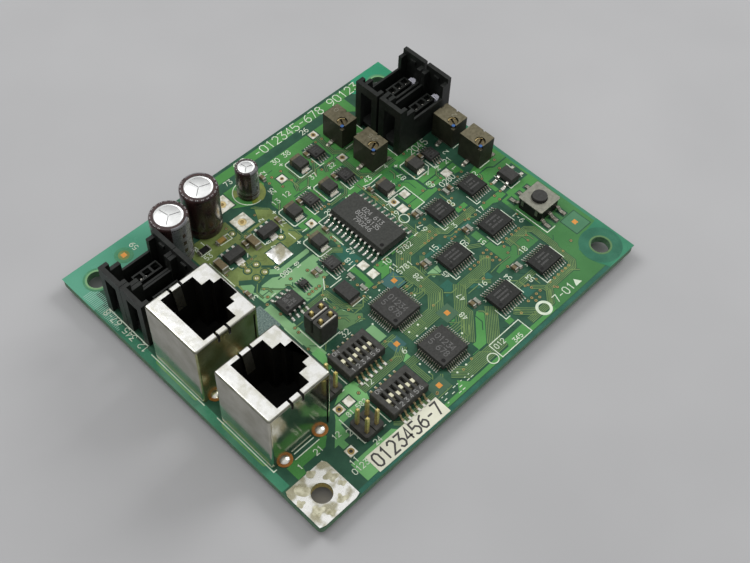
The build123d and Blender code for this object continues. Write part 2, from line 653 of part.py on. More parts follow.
def save_switches():
    body = dip_body()
    for number, y in enumerate(DIP_Y, 1):
        save(f"slide_switch_{number}", Pos(DIP_X, y, 0) * body)
        for way, x in enumerate(dip_slots()):
            slider = dip_slider(way in DIP_ON[number - 1])
            save(f"slider_{number}_{way + 1}", Pos(DIP_X + x, y, 0) * slider)
    save("tact_base", Pos(TACT_X, TACT_Y, 0) * tact_base())
    save("tact_cover", Pos(TACT_X, TACT_Y, 0) * tact_cover())
    save("tact_button", Pos(TACT_X, TACT_Y, 0) * tact_button())


def save_headers():
    save("pin_headers", *place(header_body(), HEADER_AT))
    pins = [spot for at in HEADER_AT for spot in grid_2x2(at, PIN_PITCH)]
    save("header_pins", *place(header_pin(), pins))
    x, y = HEADER_AT[0]
    for number, side in enumerate((1, -1), 1):
        spot = Pos(x, y + side * PIN_PITCH / 2, 0)
        save(f"shunt_{number}", spot * shunt())
        save(f"shunt_clip_{number}", spot * shunt_clip())


def save_chips():
    save("soic_24", chip(*soic(SOIC_24_L, SOIC_24_W, 2.4, 12, 10.3), SOIC_24_AT))
    save("soic_8", chip(*soic(SOIC_8_L, SOIC_8_W, 1.6, 4, 6.2), SOIC_8_AT, 90))
    quad = chip(*quad_flat(), (0, 0))
    save("qfp_48", *place(quad, [(QFP_X, y) for y in QFP_Y]))
    twenty = chip(*fine_chip(6.5, TSSOP_W, 1.05, 10, 0.65, 6.4, 0.28), (0, 0))
    spots = [(x, y) for y in TSSOP_20_Y for x in TSSOP_20_X]
    save("tssop_20", *place(twenty, spots))
    save("tssop_16", chip(*fine_chip(5.0, TSSOP_W, 1.05, 8, 0.65, 6.4, 0.28), TSSOP_16_AT))
    save("tssop_14", chip(*fine_chip(5.0, TSSOP_W, 1.05, 7, 0.65, 6.4, 0.28), TSSOP_14_AT))
    save("msop_8", *place(chip(*fine_chip(3.0, 3.0, 1.1, 4, 0.65, 4.9, 0.3, 0.45), (0, 0)), MSOP_AT))
    save("mini_6", chip(*fine_chip(2.0, 1.25, 1.0, 3, 0.65, 2.6, 0.25, 0.3), MINI_AT))
    save("regulators", *place(chip(*regulator(), (0, 0)), REGULATOR_AT))
    save("bridge_rectifier", chip(*rectifier(), RECTIFIER_AT))
    save("oscillator", chip(*oscillator(), OSCILLATOR_AT))
    save("tantalum_capacitors", *place(chip(*tantalum(), (0, 0)), TANTALUM_AT))


def save_small_parts():
    save("chip_capacitors", *place(chip_part(0.8), CHIP_CAP_AT))
    sense = place(chip_part(0.6, 2.6, 1.3), [SENSE_AT], 90)
    save("chip_resistors", *place(chip_part(0.5), CHIP_RES_AT), *sense)
    amber = place(chip_part(0.7, 2.3, 1.1), [AMBER_AT], 90)
    save("ceramic_capacitors", *place(chip_part(1.3, 3.2, 1.6), CERAMIC_AT), *amber)
    label = column(LABEL_L, LABEL_W, TOP, TOP + LABEL_T)
    save("paper_label", Pos(LABEL_AT[0], LABEL_AT[1], 0) * Rot(0, 0, LABEL_TURN) * label)


os.makedirs("parts", exist_ok=True)
save("circuit_board", board())
save_jacks()
save_connectors()
save_capacitors()
save_trimmers()
save_switches()
save_headers()
save_chips()
save_small_parts()
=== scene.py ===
"""A populated circuit board. Sizes are millimetres in the frame's own axes; Blender gets metres."""
import math
import random

import bmesh
import bpy
import numpy as np
from mathutils import Matrix, Vector


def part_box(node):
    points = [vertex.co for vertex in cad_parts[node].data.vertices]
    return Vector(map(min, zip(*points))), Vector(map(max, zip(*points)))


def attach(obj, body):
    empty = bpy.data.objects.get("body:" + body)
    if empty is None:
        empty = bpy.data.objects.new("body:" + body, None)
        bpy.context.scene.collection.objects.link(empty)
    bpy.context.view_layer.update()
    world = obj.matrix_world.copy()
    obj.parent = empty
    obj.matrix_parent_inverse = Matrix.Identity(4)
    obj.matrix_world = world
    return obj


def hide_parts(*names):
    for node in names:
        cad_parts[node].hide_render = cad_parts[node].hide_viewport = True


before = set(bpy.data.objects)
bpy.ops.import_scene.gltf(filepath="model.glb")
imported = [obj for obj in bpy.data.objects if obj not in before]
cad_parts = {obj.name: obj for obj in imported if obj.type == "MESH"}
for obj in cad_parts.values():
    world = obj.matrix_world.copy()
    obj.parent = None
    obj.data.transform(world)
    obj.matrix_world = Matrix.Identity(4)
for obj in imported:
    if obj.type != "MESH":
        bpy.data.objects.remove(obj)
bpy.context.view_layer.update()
MM = 0.001
LOW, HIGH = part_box("circuit_board")
TOP, BOTTOM = HIGH.z / MM, LOW.z / MM         # component side and solder side of the laminate
HALF_L, HALF_W = HIGH.x / MM, HIGH.y / MM
HOLES = [(-40.0, 32.5), (40.0, 32.5), (40.0, -32.5), (-40.0, -32.5)]    # mounting holes
PLATING_R, ART_R = 2.05, 2.1                  # plating and artwork stop this far from a hole's axis
# heights of the artwork above the laminate
LAYER = {"margin": 0.008, "pour": 0.02, "gap": 0.032, "track": 0.045, "ink": 0.058}
SINK = 0.02                                   # artwork starts this far inside the laminate
HAIR = 0.0004                                 # least difference in height
STEP = [0]                                    # which hair comes next
FINISH = {}                                   # materials by name
random.seed(7)


# ------------------------------------------------------------------ materials
def noise(nodes, links, scale, detail=3.0, rough=0.5):
    """Noise in the object's own coordinates, scale in features per millimetre."""
    coords = nodes.new("ShaderNodeTexCoord")
    texture = nodes.new("ShaderNodeTexNoise")
    texture.inputs["Scale"].default_value = scale / MM
    texture.inputs["Detail"].default_value = detail
    texture.inputs["Roughness"].default_value = rough
    links.new(coords.outputs["Object"], texture.inputs["Vector"])
    return texture.outputs["Fac"]


def ramp(nodes, links, value, low, high, start=0.3, end=0.7):
    """A two-colour ramp over a value."""
    node = nodes.new("ShaderNodeValToRGB")
    node.color_ramp.elements[0].position = start
    node.color_ramp.elements[1].position = end
    node.color_ramp.elements[0].color = (*low, 1)
    node.color_ramp.elements[1].color = (*high, 1)
    links.new(value, node.inputs["Fac"])
    return node.outputs["Color"]


def surface(name, dark, light, scale, rough=0.5, metal=0.0, bump=0.0, bump_scale=None, spread=(0.3, 0.7),
            rough_spread=0.08, coat=0.0, specular=0.5):
    """A finish whose colour drifts between two tones, with grain in its gloss and relief."""
    material = bpy.data.materials.new(name)
    material.use_nodes = True
    nodes, links = material.node_tree.nodes, material.node_tree.links
    shader = nodes["Principled BSDF"]
    drift = noise(nodes, links, scale)
    links.new(ramp(nodes, links, drift, dark, light, *spread), shader.inputs["Base Color"])
    grain = noise(nodes, links, scale * 3.1)
    level = nodes.new("ShaderNodeMapRange")
    level.inputs["To Min"].default_value = max(rough - rough_spread, 0.03)
    level.inputs["To Max"].default_value = min(rough + rough_spread, 1.0)
    links.new(grain, level.inputs["Value"])
    links.new(level.outputs["Result"], shader.inputs["Roughness"])
    shader.inputs["Metallic"].default_value = metal
    shader.inputs["Specular IOR Level"].default_value = specular
    shader.inputs["Coat Weight"].default_value = coat
    shader.inputs["Coat Roughness"].default_value = 0.15
    if bump:
        relief = nodes.new("ShaderNodeBump")
        relief.inputs["Strength"].default_value = bump
        relief.inputs["Distance"].default_value = 0.02 * MM
        links.new(noise(nodes, links, bump_scale or scale * 6), relief.inputs["Height"])
        links.new(relief.outputs["Normal"], shader.inputs["Normal"])
    FINISH[name] = material
    return material


def mask(name, dark, light, scale=0.12):
    """Glossy solder mask over copper or bare laminate."""
    return surface(name, dark, light, scale, 0.27, bump=0.22, bump_scale=1.3, specular=0.22)


def make_finishes():
    """Every finish on the board. Each call puts its own in FINISH."""
    surface("laminate", (0.015, 0.058, 0.034), (0.024, 0.082, 0.047), 0.5, 0.35, bump=0.3, bump_scale=3,
            specular=0.2)
    surface("edge", (0.05, 0.14, 0.07), (0.11, 0.22, 0.12), 1.5, 0.6, bump=0.5, bump_scale=5)
    mask("pour", (0.045, 0.175, 0.041), (0.068, 0.235, 0.058))
    mask("pour_light", (0.052, 0.195, 0.05), (0.077, 0.255, 0.068))
    mask("pour_lit", (0.1, 0.29, 0.095), (0.16, 0.38, 0.14))
    mask("pour_deep", (0.04, 0.17, 0.045), (0.055, 0.21, 0.06))
    mask("pour_mid", (0.075, 0.15, 0.06), (0.1, 0.2, 0.08))
    mask("pour_pale", (0.135, 0.29, 0.125), (0.19, 0.35, 0.17))
    mask("pour_right", (0.039, 0.142, 0.042), (0.055, 0.18, 0.055))
    mask("olive", (0.095, 0.13, 0.035), (0.17, 0.225, 0.07), 0.35)
    mask("olive_pad", (0.14, 0.16, 0.04), (0.2, 0.22, 0.06), 1.0)
    mask("margin", (0.022, 0.2, 0.105), (0.03, 0.26, 0.14))
    mask("margin_pale", (0.045, 0.215, 0.132), (0.09, 0.3, 0.2), 0.06)
    mask("margin_teal", (0.03, 0.15, 0.085), (0.05, 0.2, 0.115))
    mask("bare_grey", (0.045, 0.1, 0.06), (0.06, 0.12, 0.07))
    mask("bare_blue", (0.035, 0.1, 0.095), (0.045, 0.12, 0.11))
    mask("bare_green", (0.05, 0.15, 0.08), (0.07, 0.19, 0.1))
    surface("hatch", (0.04, 0.075, 0.075), (0.18, 0.24, 0.21), 3.5, 0.5, bump=0.3, specular=0.2)
    mask("column", (0.22, 0.4, 0.19), (0.33, 0.52, 0.29), 0.3)
    mask("teal_dark", (0.016, 0.085, 0.058), (0.026, 0.115, 0.08), 0.3)
    mask("lime", (0.085, 0.22, 0.055), (0.145, 0.3, 0.09), 0.4)
    mask("hatch_white", (0.15, 0.36, 0.27), (0.27, 0.46, 0.37), 0.2)
    surface("via_gilt", (0.22, 0.145, 0.04), (0.4, 0.29, 0.1), 2, 0.4, 0.4)
    surface("copper", (0.5, 0.2, 0.03), (0.6, 0.26, 0.05), 2, 0.45, 0.4)
    surface("dross", (0.3, 0.28, 0.17), (0.7, 0.68, 0.52), 0.9, 0.3, 0.6, bump=1.0, bump_scale=1.4)
    surface("solder_flat", (0.5, 0.48, 0.37), (0.8, 0.79, 0.7), 0.9, 0.36, 0.7, bump=0.5, bump_scale=2,
            spread=(0.38, 0.56))
    # hot-dipped solder: bright, blotchy and rippled, with yellowed flux between
    surface("tinned", (0.4, 0.38, 0.27), (0.86, 0.86, 0.83), 0.3, 0.28, 0.85, bump=1.0, bump_scale=0.8,
            spread=(0.4, 0.53), rough_spread=0.16)
    mask("track", (0.10, 0.165, 0.055), (0.145, 0.225, 0.08), 0.3)
    surface("ink", (0.44, 0.52, 0.4), (0.62, 0.68, 0.55), 0.9, 0.6, bump=0.3, bump_scale=8)
    surface("gold", (0.6, 0.46, 0.12), (0.88, 0.75, 0.34), 2, 0.3, 0.7, bump=0.2)
    # A darker copy of solder: dull solder, and painted shade on the lands on chips' far sides.
    surface("solder_dull", (0.14, 0.135, 0.09), (0.5, 0.49, 0.42), 1.3, 0.35, 0.85, bump=0.6, bump_scale=3)
    surface("solder", (0.62, 0.61, 0.54), (0.9, 0.89, 0.84), 1.6, 0.3, 1.0, bump=0.6, bump_scale=3)
    surface("tin", (0.5, 0.48, 0.42), (0.74, 0.72, 0.66), 2.5, 0.32, 1.0, bump=0.2)
    surface("steel", (0.76, 0.75, 0.67), (0.94, 0.94, 0.91), 0.5, 0.24, 1.0, bump=0.4, bump_scale=1.5,
            spread=(0.36, 0.56))
    # Darker and tinted copies of steel for the jack shields: painted shade on the rim; painted shade and
    # floor reflection, with some dirt, on the sides; and a painted olive reflection of the board.
    surface("steel_rim_shaded", (0.26, 0.26, 0.2), (0.42, 0.42, 0.36), 0.6, 0.3, 0.95, bump=0.3, bump_scale=2)
    surface("steel_side_shaded", (0.42, 0.41, 0.33), (0.6, 0.59, 0.52), 0.3, 0.14, 1.0, bump=0.3, bump_scale=0.7)
    surface("steel_board_reflection", (0.34, 0.34, 0.14), (0.56, 0.57, 0.34), 0.4, 0.2, 0.85, bump=0.6, bump_scale=0.5)
    surface("cover", (0.2, 0.2, 0.165), (0.285, 0.285, 0.235), 1.2, 0.4, 0.85, bump=0.3, bump_scale=7)
    surface("black", (0.006, 0.006, 0.006), (0.012, 0.012, 0.011), 1, 0.42, bump=0.25, bump_scale=6,
            specular=0.16)
    surface("shroud", (0.007, 0.008, 0.007), (0.015, 0.017, 0.015), 1, 0.42, bump=0.25, bump_scale=6,
            specular=0.24)
    # Lighter grey for the inner faces of the switch slots: painted light.
    surface("slot_painted_light", (0.07, 0.07, 0.065), (0.11, 0.11, 0.1), 2, 0.6, specular=0.2)
    mask("fade", (0.045, 0.19, 0.095), (0.07, 0.23, 0.12), 0.5)
    mask("ring_teal", (0.016, 0.095, 0.056), (0.034, 0.15, 0.09), 0.25)
    mask("margin_low", (0.022, 0.145, 0.078), (0.04, 0.2, 0.115), 0.2)
    surface("chip_ink", (0.075, 0.075, 0.072), (0.11, 0.11, 0.106), 4, 0.6)
    # Darker grey for the scored lines on the can tops: painted shade.
    surface("groove", (0.12, 0.12, 0.12), (0.2, 0.2, 0.2), 2, 0.5, 0.5)
    surface("black_matte", (0.034, 0.034, 0.031), (0.055, 0.055, 0.05), 1.2, 0.6, bump=0.4, bump_scale=8,
            specular=0.2)
    surface("epoxy", (0.024, 0.024, 0.022), (0.04, 0.04, 0.037), 2.2, 0.6, bump=0.6, bump_scale=12,
            specular=0.25)
    surface("epoxy_dark", (0.011, 0.012, 0.0105), (0.021, 0.022, 0.0195), 2.2, 0.6, bump=0.6,
            bump_scale=12, specular=0.22)
    surface("epoxy_pale", (0.028, 0.029, 0.026), (0.044, 0.046, 0.041), 2.2, 0.6, bump=0.6, bump_scale=12,
            specular=0.22)
    surface("tantalum", (0.026, 0.026, 0.023), (0.042, 0.042, 0.037), 2, 0.55, bump=0.5, bump_scale=10,
            specular=0.25)
    surface("band", (0.068, 0.06, 0.032), (0.125, 0.112, 0.065), 2, 0.5, bump=0.4, bump_scale=10,
            specular=0.3)
    surface("print", (0.22, 0.22, 0.21), (0.3, 0.3, 0.29), 4, 0.6)
    surface("faint", (0.042, 0.042, 0.04), (0.058, 0.058, 0.055), 4, 0.6)
    surface("film", (0.02, 0.009, 0.009), (0.045, 0.021, 0.02), 0.6, 0.24, coat=0.2)
    surface("stripe", (0.1, 0.1, 0.105), (0.17, 0.17, 0.18), 0.8, 0.28, coat=0.3)
    surface("rim_ink", (0.2, 0.19, 0.19), (0.32, 0.31, 0.31), 2, 0.5)
    surface("can", (0.86, 0.87, 0.86), (0.97, 0.98, 0.97), 0.8, 0.3, 0.9, bump=0.3, bump_scale=4)
    surface("shell", (0.017, 0.017, 0.01), (0.031, 0.031, 0.019), 0.8, 0.5, bump=0.5, bump_scale=7,
            specular=0.25)
    # Lighter brown for the trimmers' upward faces near the top.
    surface("shell_top", (0.085, 0.075, 0.045), (0.14, 0.125, 0.08), 1.5, 0.8, bump=0.7, bump_scale=6,
            specular=0.2)
    surface("bump", (0.15, 0.14, 0.1), (0.23, 0.215, 0.155), 2, 0.6, specular=0.3)
    surface("screw", (0.075, 0.06, 0.03), (0.16, 0.13, 0.065), 2, 0.5, 0.6)
    surface("brass", (0.6, 0.46, 0.2), (0.8, 0.65, 0.35), 2, 0.3, 0.9)
    surface("paint", (0.01, 0.06, 0.2), (0.02, 0.1, 0.3), 2, 0.5)
    surface("cream", (0.52, 0.5, 0.34), (0.62, 0.6, 0.44), 1, 0.45)
    surface("key", (0.38, 0.38, 0.43), (0.5, 0.5, 0.56), 1, 0.45)
    surface("brown", (0.095, 0.072, 0.033), (0.155, 0.12, 0.06), 3, 0.45, specular=0.3)
    surface("cap_end", (0.24, 0.23, 0.19), (0.5, 0.49, 0.44), 3, 0.4, 0.8, bump=0.4)
    surface("lead_gilt", (0.2, 0.15, 0.07), (0.5, 0.42, 0.24), 2, 0.35, 0.8)
    # A darker copy of tin for leads: painted shade and dark reflection.
    surface("lead_dull", (0.1, 0.095, 0.07), (0.3, 0.29, 0.24), 2, 0.4, 0.7)
    surface("amber", (0.2, 0.12, 0.02), (0.32, 0.2, 0.04), 3, 0.4)
    surface("glaze", (0.17, 0.19, 0.15), (0.24, 0.26, 0.21), 3, 0.45)
    surface("paper", (0.56, 0.56, 0.44), (0.63, 0.63, 0.51), 0.5, 0.7, bump=0.3, bump_scale=9)
    surface("dark_ink", (0.02, 0.02, 0.02), (0.035, 0.033, 0.03), 3, 0.6)
    surface("flux", (0.10, 0.15, 0.012), (0.2, 0.24, 0.03), 0.6, 0.25, coat=0.4)
    surface("burnt", (0.26, 0.1, 0.02), (0.45, 0.19, 0.045), 1.2, 0.3, 0.5)
    # Near-black for open holes: painted shade inside the bore.
    surface("hole", (0.012, 0.012, 0.01), (0.02, 0.02, 0.015), 2, 0.7)


make_finishes()


# ------------------------------------------------------------------ forms
class Form:
    """One piece's points and faces in millimetres, with a finish for each face."""

    def __init__(self):
        self.points, self.faces, self.paint = [], [], []

    def add(self, points, faces, paint):
        start = len(self.points)
        self.points += [tuple(p) for p in points]
        self.faces += [tuple(start + i for i in face) for face in faces]
        self.paint += [paint] * len(faces)

    def block(self, x0, x1, y0, y1, z0, z1, paint, edge=0.05):
        """A box with every edge chamfered."""
        low, high = (x0, y0, z0), (x1, y1, z1)
        signs = [(a, b, c) for a in (0, 1) for b in (0, 1) for c in (0, 1)]
        points, index = [], {}
        for sign in signs:
            for axis in range(3):
                index[sign, axis] = len(points)
                points.append([high[k] - (k != axis) * edge if sign[k] else low[k] + (k != axis) * edge
                               for k in range(3)])
        faces = [[index[s, 0], index[s, 1], index[s, 2]] for s in signs]
        for axis in range(3):
            b, c = (axis + 1) % 3, (axis + 2) % 3
            for side in (0, 1):
                ring = []
                for pb, pc in ((0, 0), (1, 0), (1, 1), (0, 1)):
                    sign = [0, 0, 0]
                    sign[axis], sign[b], sign[c] = side, pb, pc
                    ring.append(index[tuple(sign), axis])
                faces.append(ring)
            for pb in (0, 1):
                for pc in (0, 1):
                    ends = []
                    for side in (0, 1):
                        sign = [0, 0, 0]
                        sign[axis], sign[b], sign[c] = side, pb, pc
                        ends.append(tuple(sign))
                    faces.append([index[ends[0], b], index[ends[0], c], index[ends[1], c], index[ends[1], b]])
        self.add(points, faces, paint)

    def prism(self, outline, z0, z1, paint, edge=0.0):
        """An outline raised from z0 to z1, its top rim chamfered by edge."""
        rings = [(outline, z0), (outline, z1 - edge)]
        if edge:
            rings.append((inset(outline, edge), z1))
        self.loft([[(x, y, z) for x, y in ring] for ring, z in rings], paint)

    def loft(self, rings, paint):
        """A closed skin over rings of equal length."""
        n = len(rings[0])
        points = [p for ring in rings for p in ring]
        faces = [list(range(n))[::-1], [n * (len(rings) - 1) + i for i in range(n)]]
        for k in range(len(rings) - 1):
            for i in range(n):
                j = (i + 1) % n
                faces.append([n * k + i, n * k + j, n * (k + 1) + j, n * (k + 1) + i])
        self.add(points, faces, paint)

    def lathe(self, profile, at, paint, sides=32):
        """A closed turned shape from (radius, height) pairs, both ends on the axis or joined."""
        points, faces, rings = [], [], []
        for r, z in profile:
            if r < 1e-6:
                rings.append([len(points)] * sides)
                points.append((at[0], at[1], z))
            else:
                rings.append([len(points) + i for i in range(sides)])
                points += [(at[0] + r * math.cos(t), at[1] + r * math.sin(t), z)
                           for t in (2 * math.pi * i / sides for i in range(sides))]
        closed = profile[0][0] > 1e-6 and profile[-1][0] > 1e-6
        pairs = list(zip(rings, rings[1:])) + ([(rings[-1], rings[0])] if closed else [])
        for a, b in pairs:
            for i in range(sides):
                j = (i + 1) % sides
                face = []
                for v in (a[i], a[j], b[j], b[i]):
                    if v not in face:
                        face.append(v)
                if len(face) > 2:
                    faces.append(face)
        self.add(points, faces, paint)

    def sweep(self, profile, at, t0, t1, paint, steps=10):
        """A closed (radius, height) profile carried round an upright axis from one angle to another."""
        rings = []
        for i in range(steps + 1):
            t = t0 + (t1 - t0) * i / steps
            c, s = math.cos(t), math.sin(t)
            rings.append([(at[0] + r * c, at[1] + r * s, z) for r, z in profile])
        self.loft(rings, paint)

    def ribbon(self, path, thickness, width, paint, at=(0, 0), turn=0.0):
        """Strip bent along (reach, height) points, laid at a place and turned about the upright."""
        left, right = [], []
        for i, (u, z) in enumerate(path):
            a = path[max(i - 1, 0)]
            b = path[min(i + 1, len(path) - 1)]
            t = math.atan2(b[1] - a[1], b[0] - a[0])
            half = thickness / 2
            if 0 < i < len(path) - 1:
                t1 = math.atan2(z - a[1], u - a[0])
                half /= max(math.cos(t - t1), 0.5)
            left.append((u - half * math.sin(t), z + half * math.cos(t)))
            right.append((u + half * math.sin(t), z - half * math.cos(t)))
        c, s = math.cos(turn), math.sin(turn)
        rings = []
        for (ul, zl), (ur, zr) in zip(left, right):
            ring = []
            for u, v, z in ((ul, -width / 2, zl), (ul, width / 2, zl), (ur, width / 2, zr),
                            (ur, -width / 2, zr)):
                ring.append((at[0] + u * c - v * s, at[1] + u * s + v * c, z))
            rings.append(ring)
        self.loft(rings, paint)

    def track(self, path, width, z0, z1, paint):
        """A flat mitred line through (x, y) points."""
        sides = offset(path, width / 2), offset(path, -width / 2)
        self.prism(sides[0] + sides[1][::-1], z0, z1, paint)

    def ring(self, at, r0, r1, z0, z1, paint, sides=12):
        """A flat washer."""
        self.lathe([(r0, z0), (r1, z0), (r1, z1), (r0, z1)], at, paint, sides)


def offset(path, distance):
    """A polyline moved sideways, its corners mitred."""
    moved = []
    for i, (x, y) in enumerate(path):
        a = path[max(i - 1, 0)]
        b = path[min(i + 1, len(path) - 1)]
        t = math.atan2(b[1] - a[1], b[0] - a[0])
        reach = distance
        if 0 < i < len(path) - 1:
            t1 = math.atan2(y - a[1], x - a[0])
            t2 = math.atan2(b[1] - y, b[0] - x)
            bend = (t2 - t1 + math.pi) % (2 * math.pi) - math.pi
            t = t1 + bend / 2
            reach /= max(math.cos(bend / 2), 0.4)
        moved.append((x - reach * math.sin(t), y + reach * math.cos(t)))
    return moved


def inset(outline, distance):
    """A closed outline, counter-clockwise, moved inwards."""
    closed = [outline[-1]] + list(outline) + [outline[0]]
    return offset(closed, distance)[1:-1]


def rectangle(x0, x1, y0, y1):
    """Corners of a rectangle, counter-clockwise."""
    return [(x0, y0), (x1, y0), (x1, y1), (x0, y1)]


def square(x, y, half):
    """Corners of a square round a point."""
    return rectangle(x - half, x + half, y - half, y + half)


def circle(x, y, r, sides):
    """A regular outline round a point."""
    return [(x + r * math.cos(2 * math.pi * i / sides), y + r * math.sin(2 * math.pi * i / sides))
            for i in range(sides)]


def piece(name, form, body="board", replaces=(), smooth=False):
    """Makes a Blender object of a form and ties it to the frame."""
    mesh = bpy.data.meshes.new(name)
    mesh.from_pydata([[c * MM for c in p] for p in form.points], [], form.faces)
    names = sorted(set(form.paint))
    for paint in names:
        mesh.materials.append(FINISH[paint])
    mesh.polygons.foreach_set("material_index", [names.index(p) for p in form.paint])
    bm = bmesh.new()
    bm.from_mesh(mesh)
    bmesh.ops.recalc_face_normals(bm, faces=bm.faces)
    bm.to_mesh(mesh)
    bm.free()
    if smooth:
        mesh.shade_smooth()
        mesh.set_sharp_from_angle(angle=math.radians(35))
    thing = bpy.data.objects.new(name, mesh)
    bpy.context.scene.collection.objects.link(thing)
    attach(thing, body)
    if replaces:
        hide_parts(*replaces)


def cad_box(node):
    """Box of a CAD node in millimetres."""
    low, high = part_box(node)
    return low / MM, high / MM


def islands(node):
    """Boxes of a node's separate solids in millimetres, as (low, high) pairs in reading order."""
    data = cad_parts[node].data
    keys, merged = {}, []
    for v in data.vertices:
        merged.append(keys.setdefault(tuple(round(c / MM, 3) for c in v.co), len(keys)))
    parent = list(range(len(keys)))

    def root(i):
        while parent[i] != i:
            parent[i] = parent[parent[i]]
            i = parent[i]
        return i

    for face in data.polygons:
        first = root(merged[face.vertices[0]])
        for v in face.vertices[1:]:
            parent[root(merged[v])] = first
    groups = {}
    for key, i in keys.items():
        groups.setdefault(root(i), []).append(key)
    boxes = [(Vector(np.min(g, 0)), Vector(np.max(g, 0))) for g in groups.values()]
    return sorted(boxes, key=lambda b: (-round(b[0].y, 1), b[0].x))


def middle(box):
    """Centre of a box seen from above."""
    return (box[0].x + box[1].x) / 2, (box[0].y + box[1].y) / 2


def turned(outline, at, turn):
    """An outline turned about its own origin and moved to a place."""
    c, s = math.cos(turn), math.sin(turn)
    return [(at[0] + x * c - y * s, at[1] + x * s + y * c) for x, y in outline]


def soften(node, paint, width, pick=None, body="board"):
    """A piece with a CAD node's own shape, its edges eased, painted face by face."""
    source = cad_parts[node].data
    bm = bmesh.new()
    points = [bm.verts.new(v.co) for v in source.vertices]
    for face in source.polygons:
        try:
            bm.faces.new([points[i] for i in face.vertices])
        except ValueError:
            continue
    bmesh.ops.remove_doubles(bm, verts=bm.verts, dist=0.002 * MM)
    bmesh.ops.dissolve_limit(bm, angle_limit=math.radians(0.6), verts=bm.verts, edges=bm.edges)
    mesh = bpy.data.meshes.new(node + "_form")
    crease = math.radians(28)
    names = []
    for face in bm.faces:
        chosen = pick(face.normal, face.calc_center_median() / MM) if pick else paint
        if chosen not in names:
            names.append(chosen)
        face.material_index = names.index(chosen)
    bm.to_mesh(mesh)
    bm.free()
    for chosen in names:
        mesh.materials.append(FINISH[chosen])
    mesh.shade_smooth()
    mesh.set_sharp_from_angle(angle=crease)
    thing = bpy.data.objects.new(mesh.name, mesh)
    bpy.context.scene.collection.objects.link(thing)
    ease = thing.modifiers.new("eased_edges", "BEVEL")
    ease.width = width * MM
    ease.segments = 2
    ease.limit_method = "ANGLE"
    ease.angle_limit = crease
    ease.harden_normals = True
    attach(thing, body)
    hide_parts(node)


# ------------------------------------------------------------------ chips
def moulded(form, x0, x1, y0, y1, z0, z1, draft, paint="epoxy"):
    """A moulded body: a parting band, drafted above and below, with a fine top edge."""
    seam = (z0 + z1) / 2
    rings = []
    for z, pull in ((z0, draft), (seam - 0.06, 0.02), (seam - 0.05, 0), (seam + 0.05, 0),
                    (seam + 0.06, 0.02), (z1 - 0.05, draft), (z1, draft + 0.05)):
        rings.append([(x, y, z) for x, y in rectangle(x0 + pull, x1 - pull, y0 + pull, y1 - pull)])
    form.loft(rings, paint)


def pad(form, at, turn, start, end, width, height=0.11, paint="solder"):
    """Soldered land, its rim sloping to the board."""
    outline = turned(rectangle(start, end, -width / 2, width / 2), at, turn)
    form.prism(outline, TOP, TOP + height, paint, edge=min(0.09, width / 4, (end - start) / 4))


def lead_row(leads, pads, centre, half, turn, count, pitch, reach, height, thick, width, land):
    """One side's leads and the lands under their feet. Fine leads take a darker copy of tin as painted shade.
    """
    fine = width < 0.3
    c, s = math.cos(turn), math.sin(turn)
    # Painted shade: on chips with wide leads, the lands on the far sides (+x and +y) take the darker solder;
    # the near sides and all fine leads take bright solder.
    bright = fine or c + s < -0.5    # the near sides' lands catch the light
    low = TOP + thick / 2 + 0.06
    path = [(-0.08, TOP + height), (0.16 * reach, TOP + height), (0.28 * reach, TOP + height - 0.12),
            (0.5 * reach, low + 0.1), (0.6 * reach, low), (reach, low)]
    for i in range(count):
        along = pitch * (i - (count - 1) / 2)
        at = (centre[0] + half * c - along * s, centre[1] + half * s + along * c)
        leads.ribbon(path, thick, width, "lead_dull" if fine else "tin", at, turn)
        pad(pads, at, turn, *land, paint="solder" if bright else "solder_dull")


# node: leads a side, pitch, reach, body bottom and top, draft, lead thickness and width,
# land from, to and width, sides with leads (0 is +x, 1 is +y and so on)
CHIPS = {
    "soic_24": (12, 1.27, 1.4, 0.15, 2.4, 0.3, 0.2, 0.4, (0.9, 2.2, 0.52), (0, 2)),
    "soic_8": (4, 1.27, 1.15, 0.15, 1.6, 0.25, 0.2, 0.42, (0.6, 1.6, 0.56), (1, 3)),
    "qfp_48": (12, 0.5, 1.0, 0.1, 1.5, 0.15, 0.14, 0.19, (0.62, 1.3, 0.2), (0, 1, 2, 3)),
    "tssop_20": (10, 0.65, 1.0, 0.1, 1.05, 0.15, 0.13, 0.23, (0.62, 1.3, 0.24), (1, 3)),
    "tssop_16": (8, 0.65, 1.0, 0.1, 1.05, 0.15, 0.13, 0.23, (0.62, 1.3, 0.24), (1, 3)),
    "tssop_14": (7, 0.65, 1.0, 0.1, 1.05, 0.15, 0.13, 0.23, (0.62, 1.3, 0.24), (1, 3)),
    "msop_8": (4, 0.65, 0.95, 0.1, 1.1, 0.15, 0.13, 0.26, (0.5, 1.35, 0.28), (1, 3)),
    "mini_6": (3, 0.65, 0.68, 0.1, 1.0, 0.1, 0.13, 0.22, (0.3, 1.05, 0.28), (1, 3)),
}


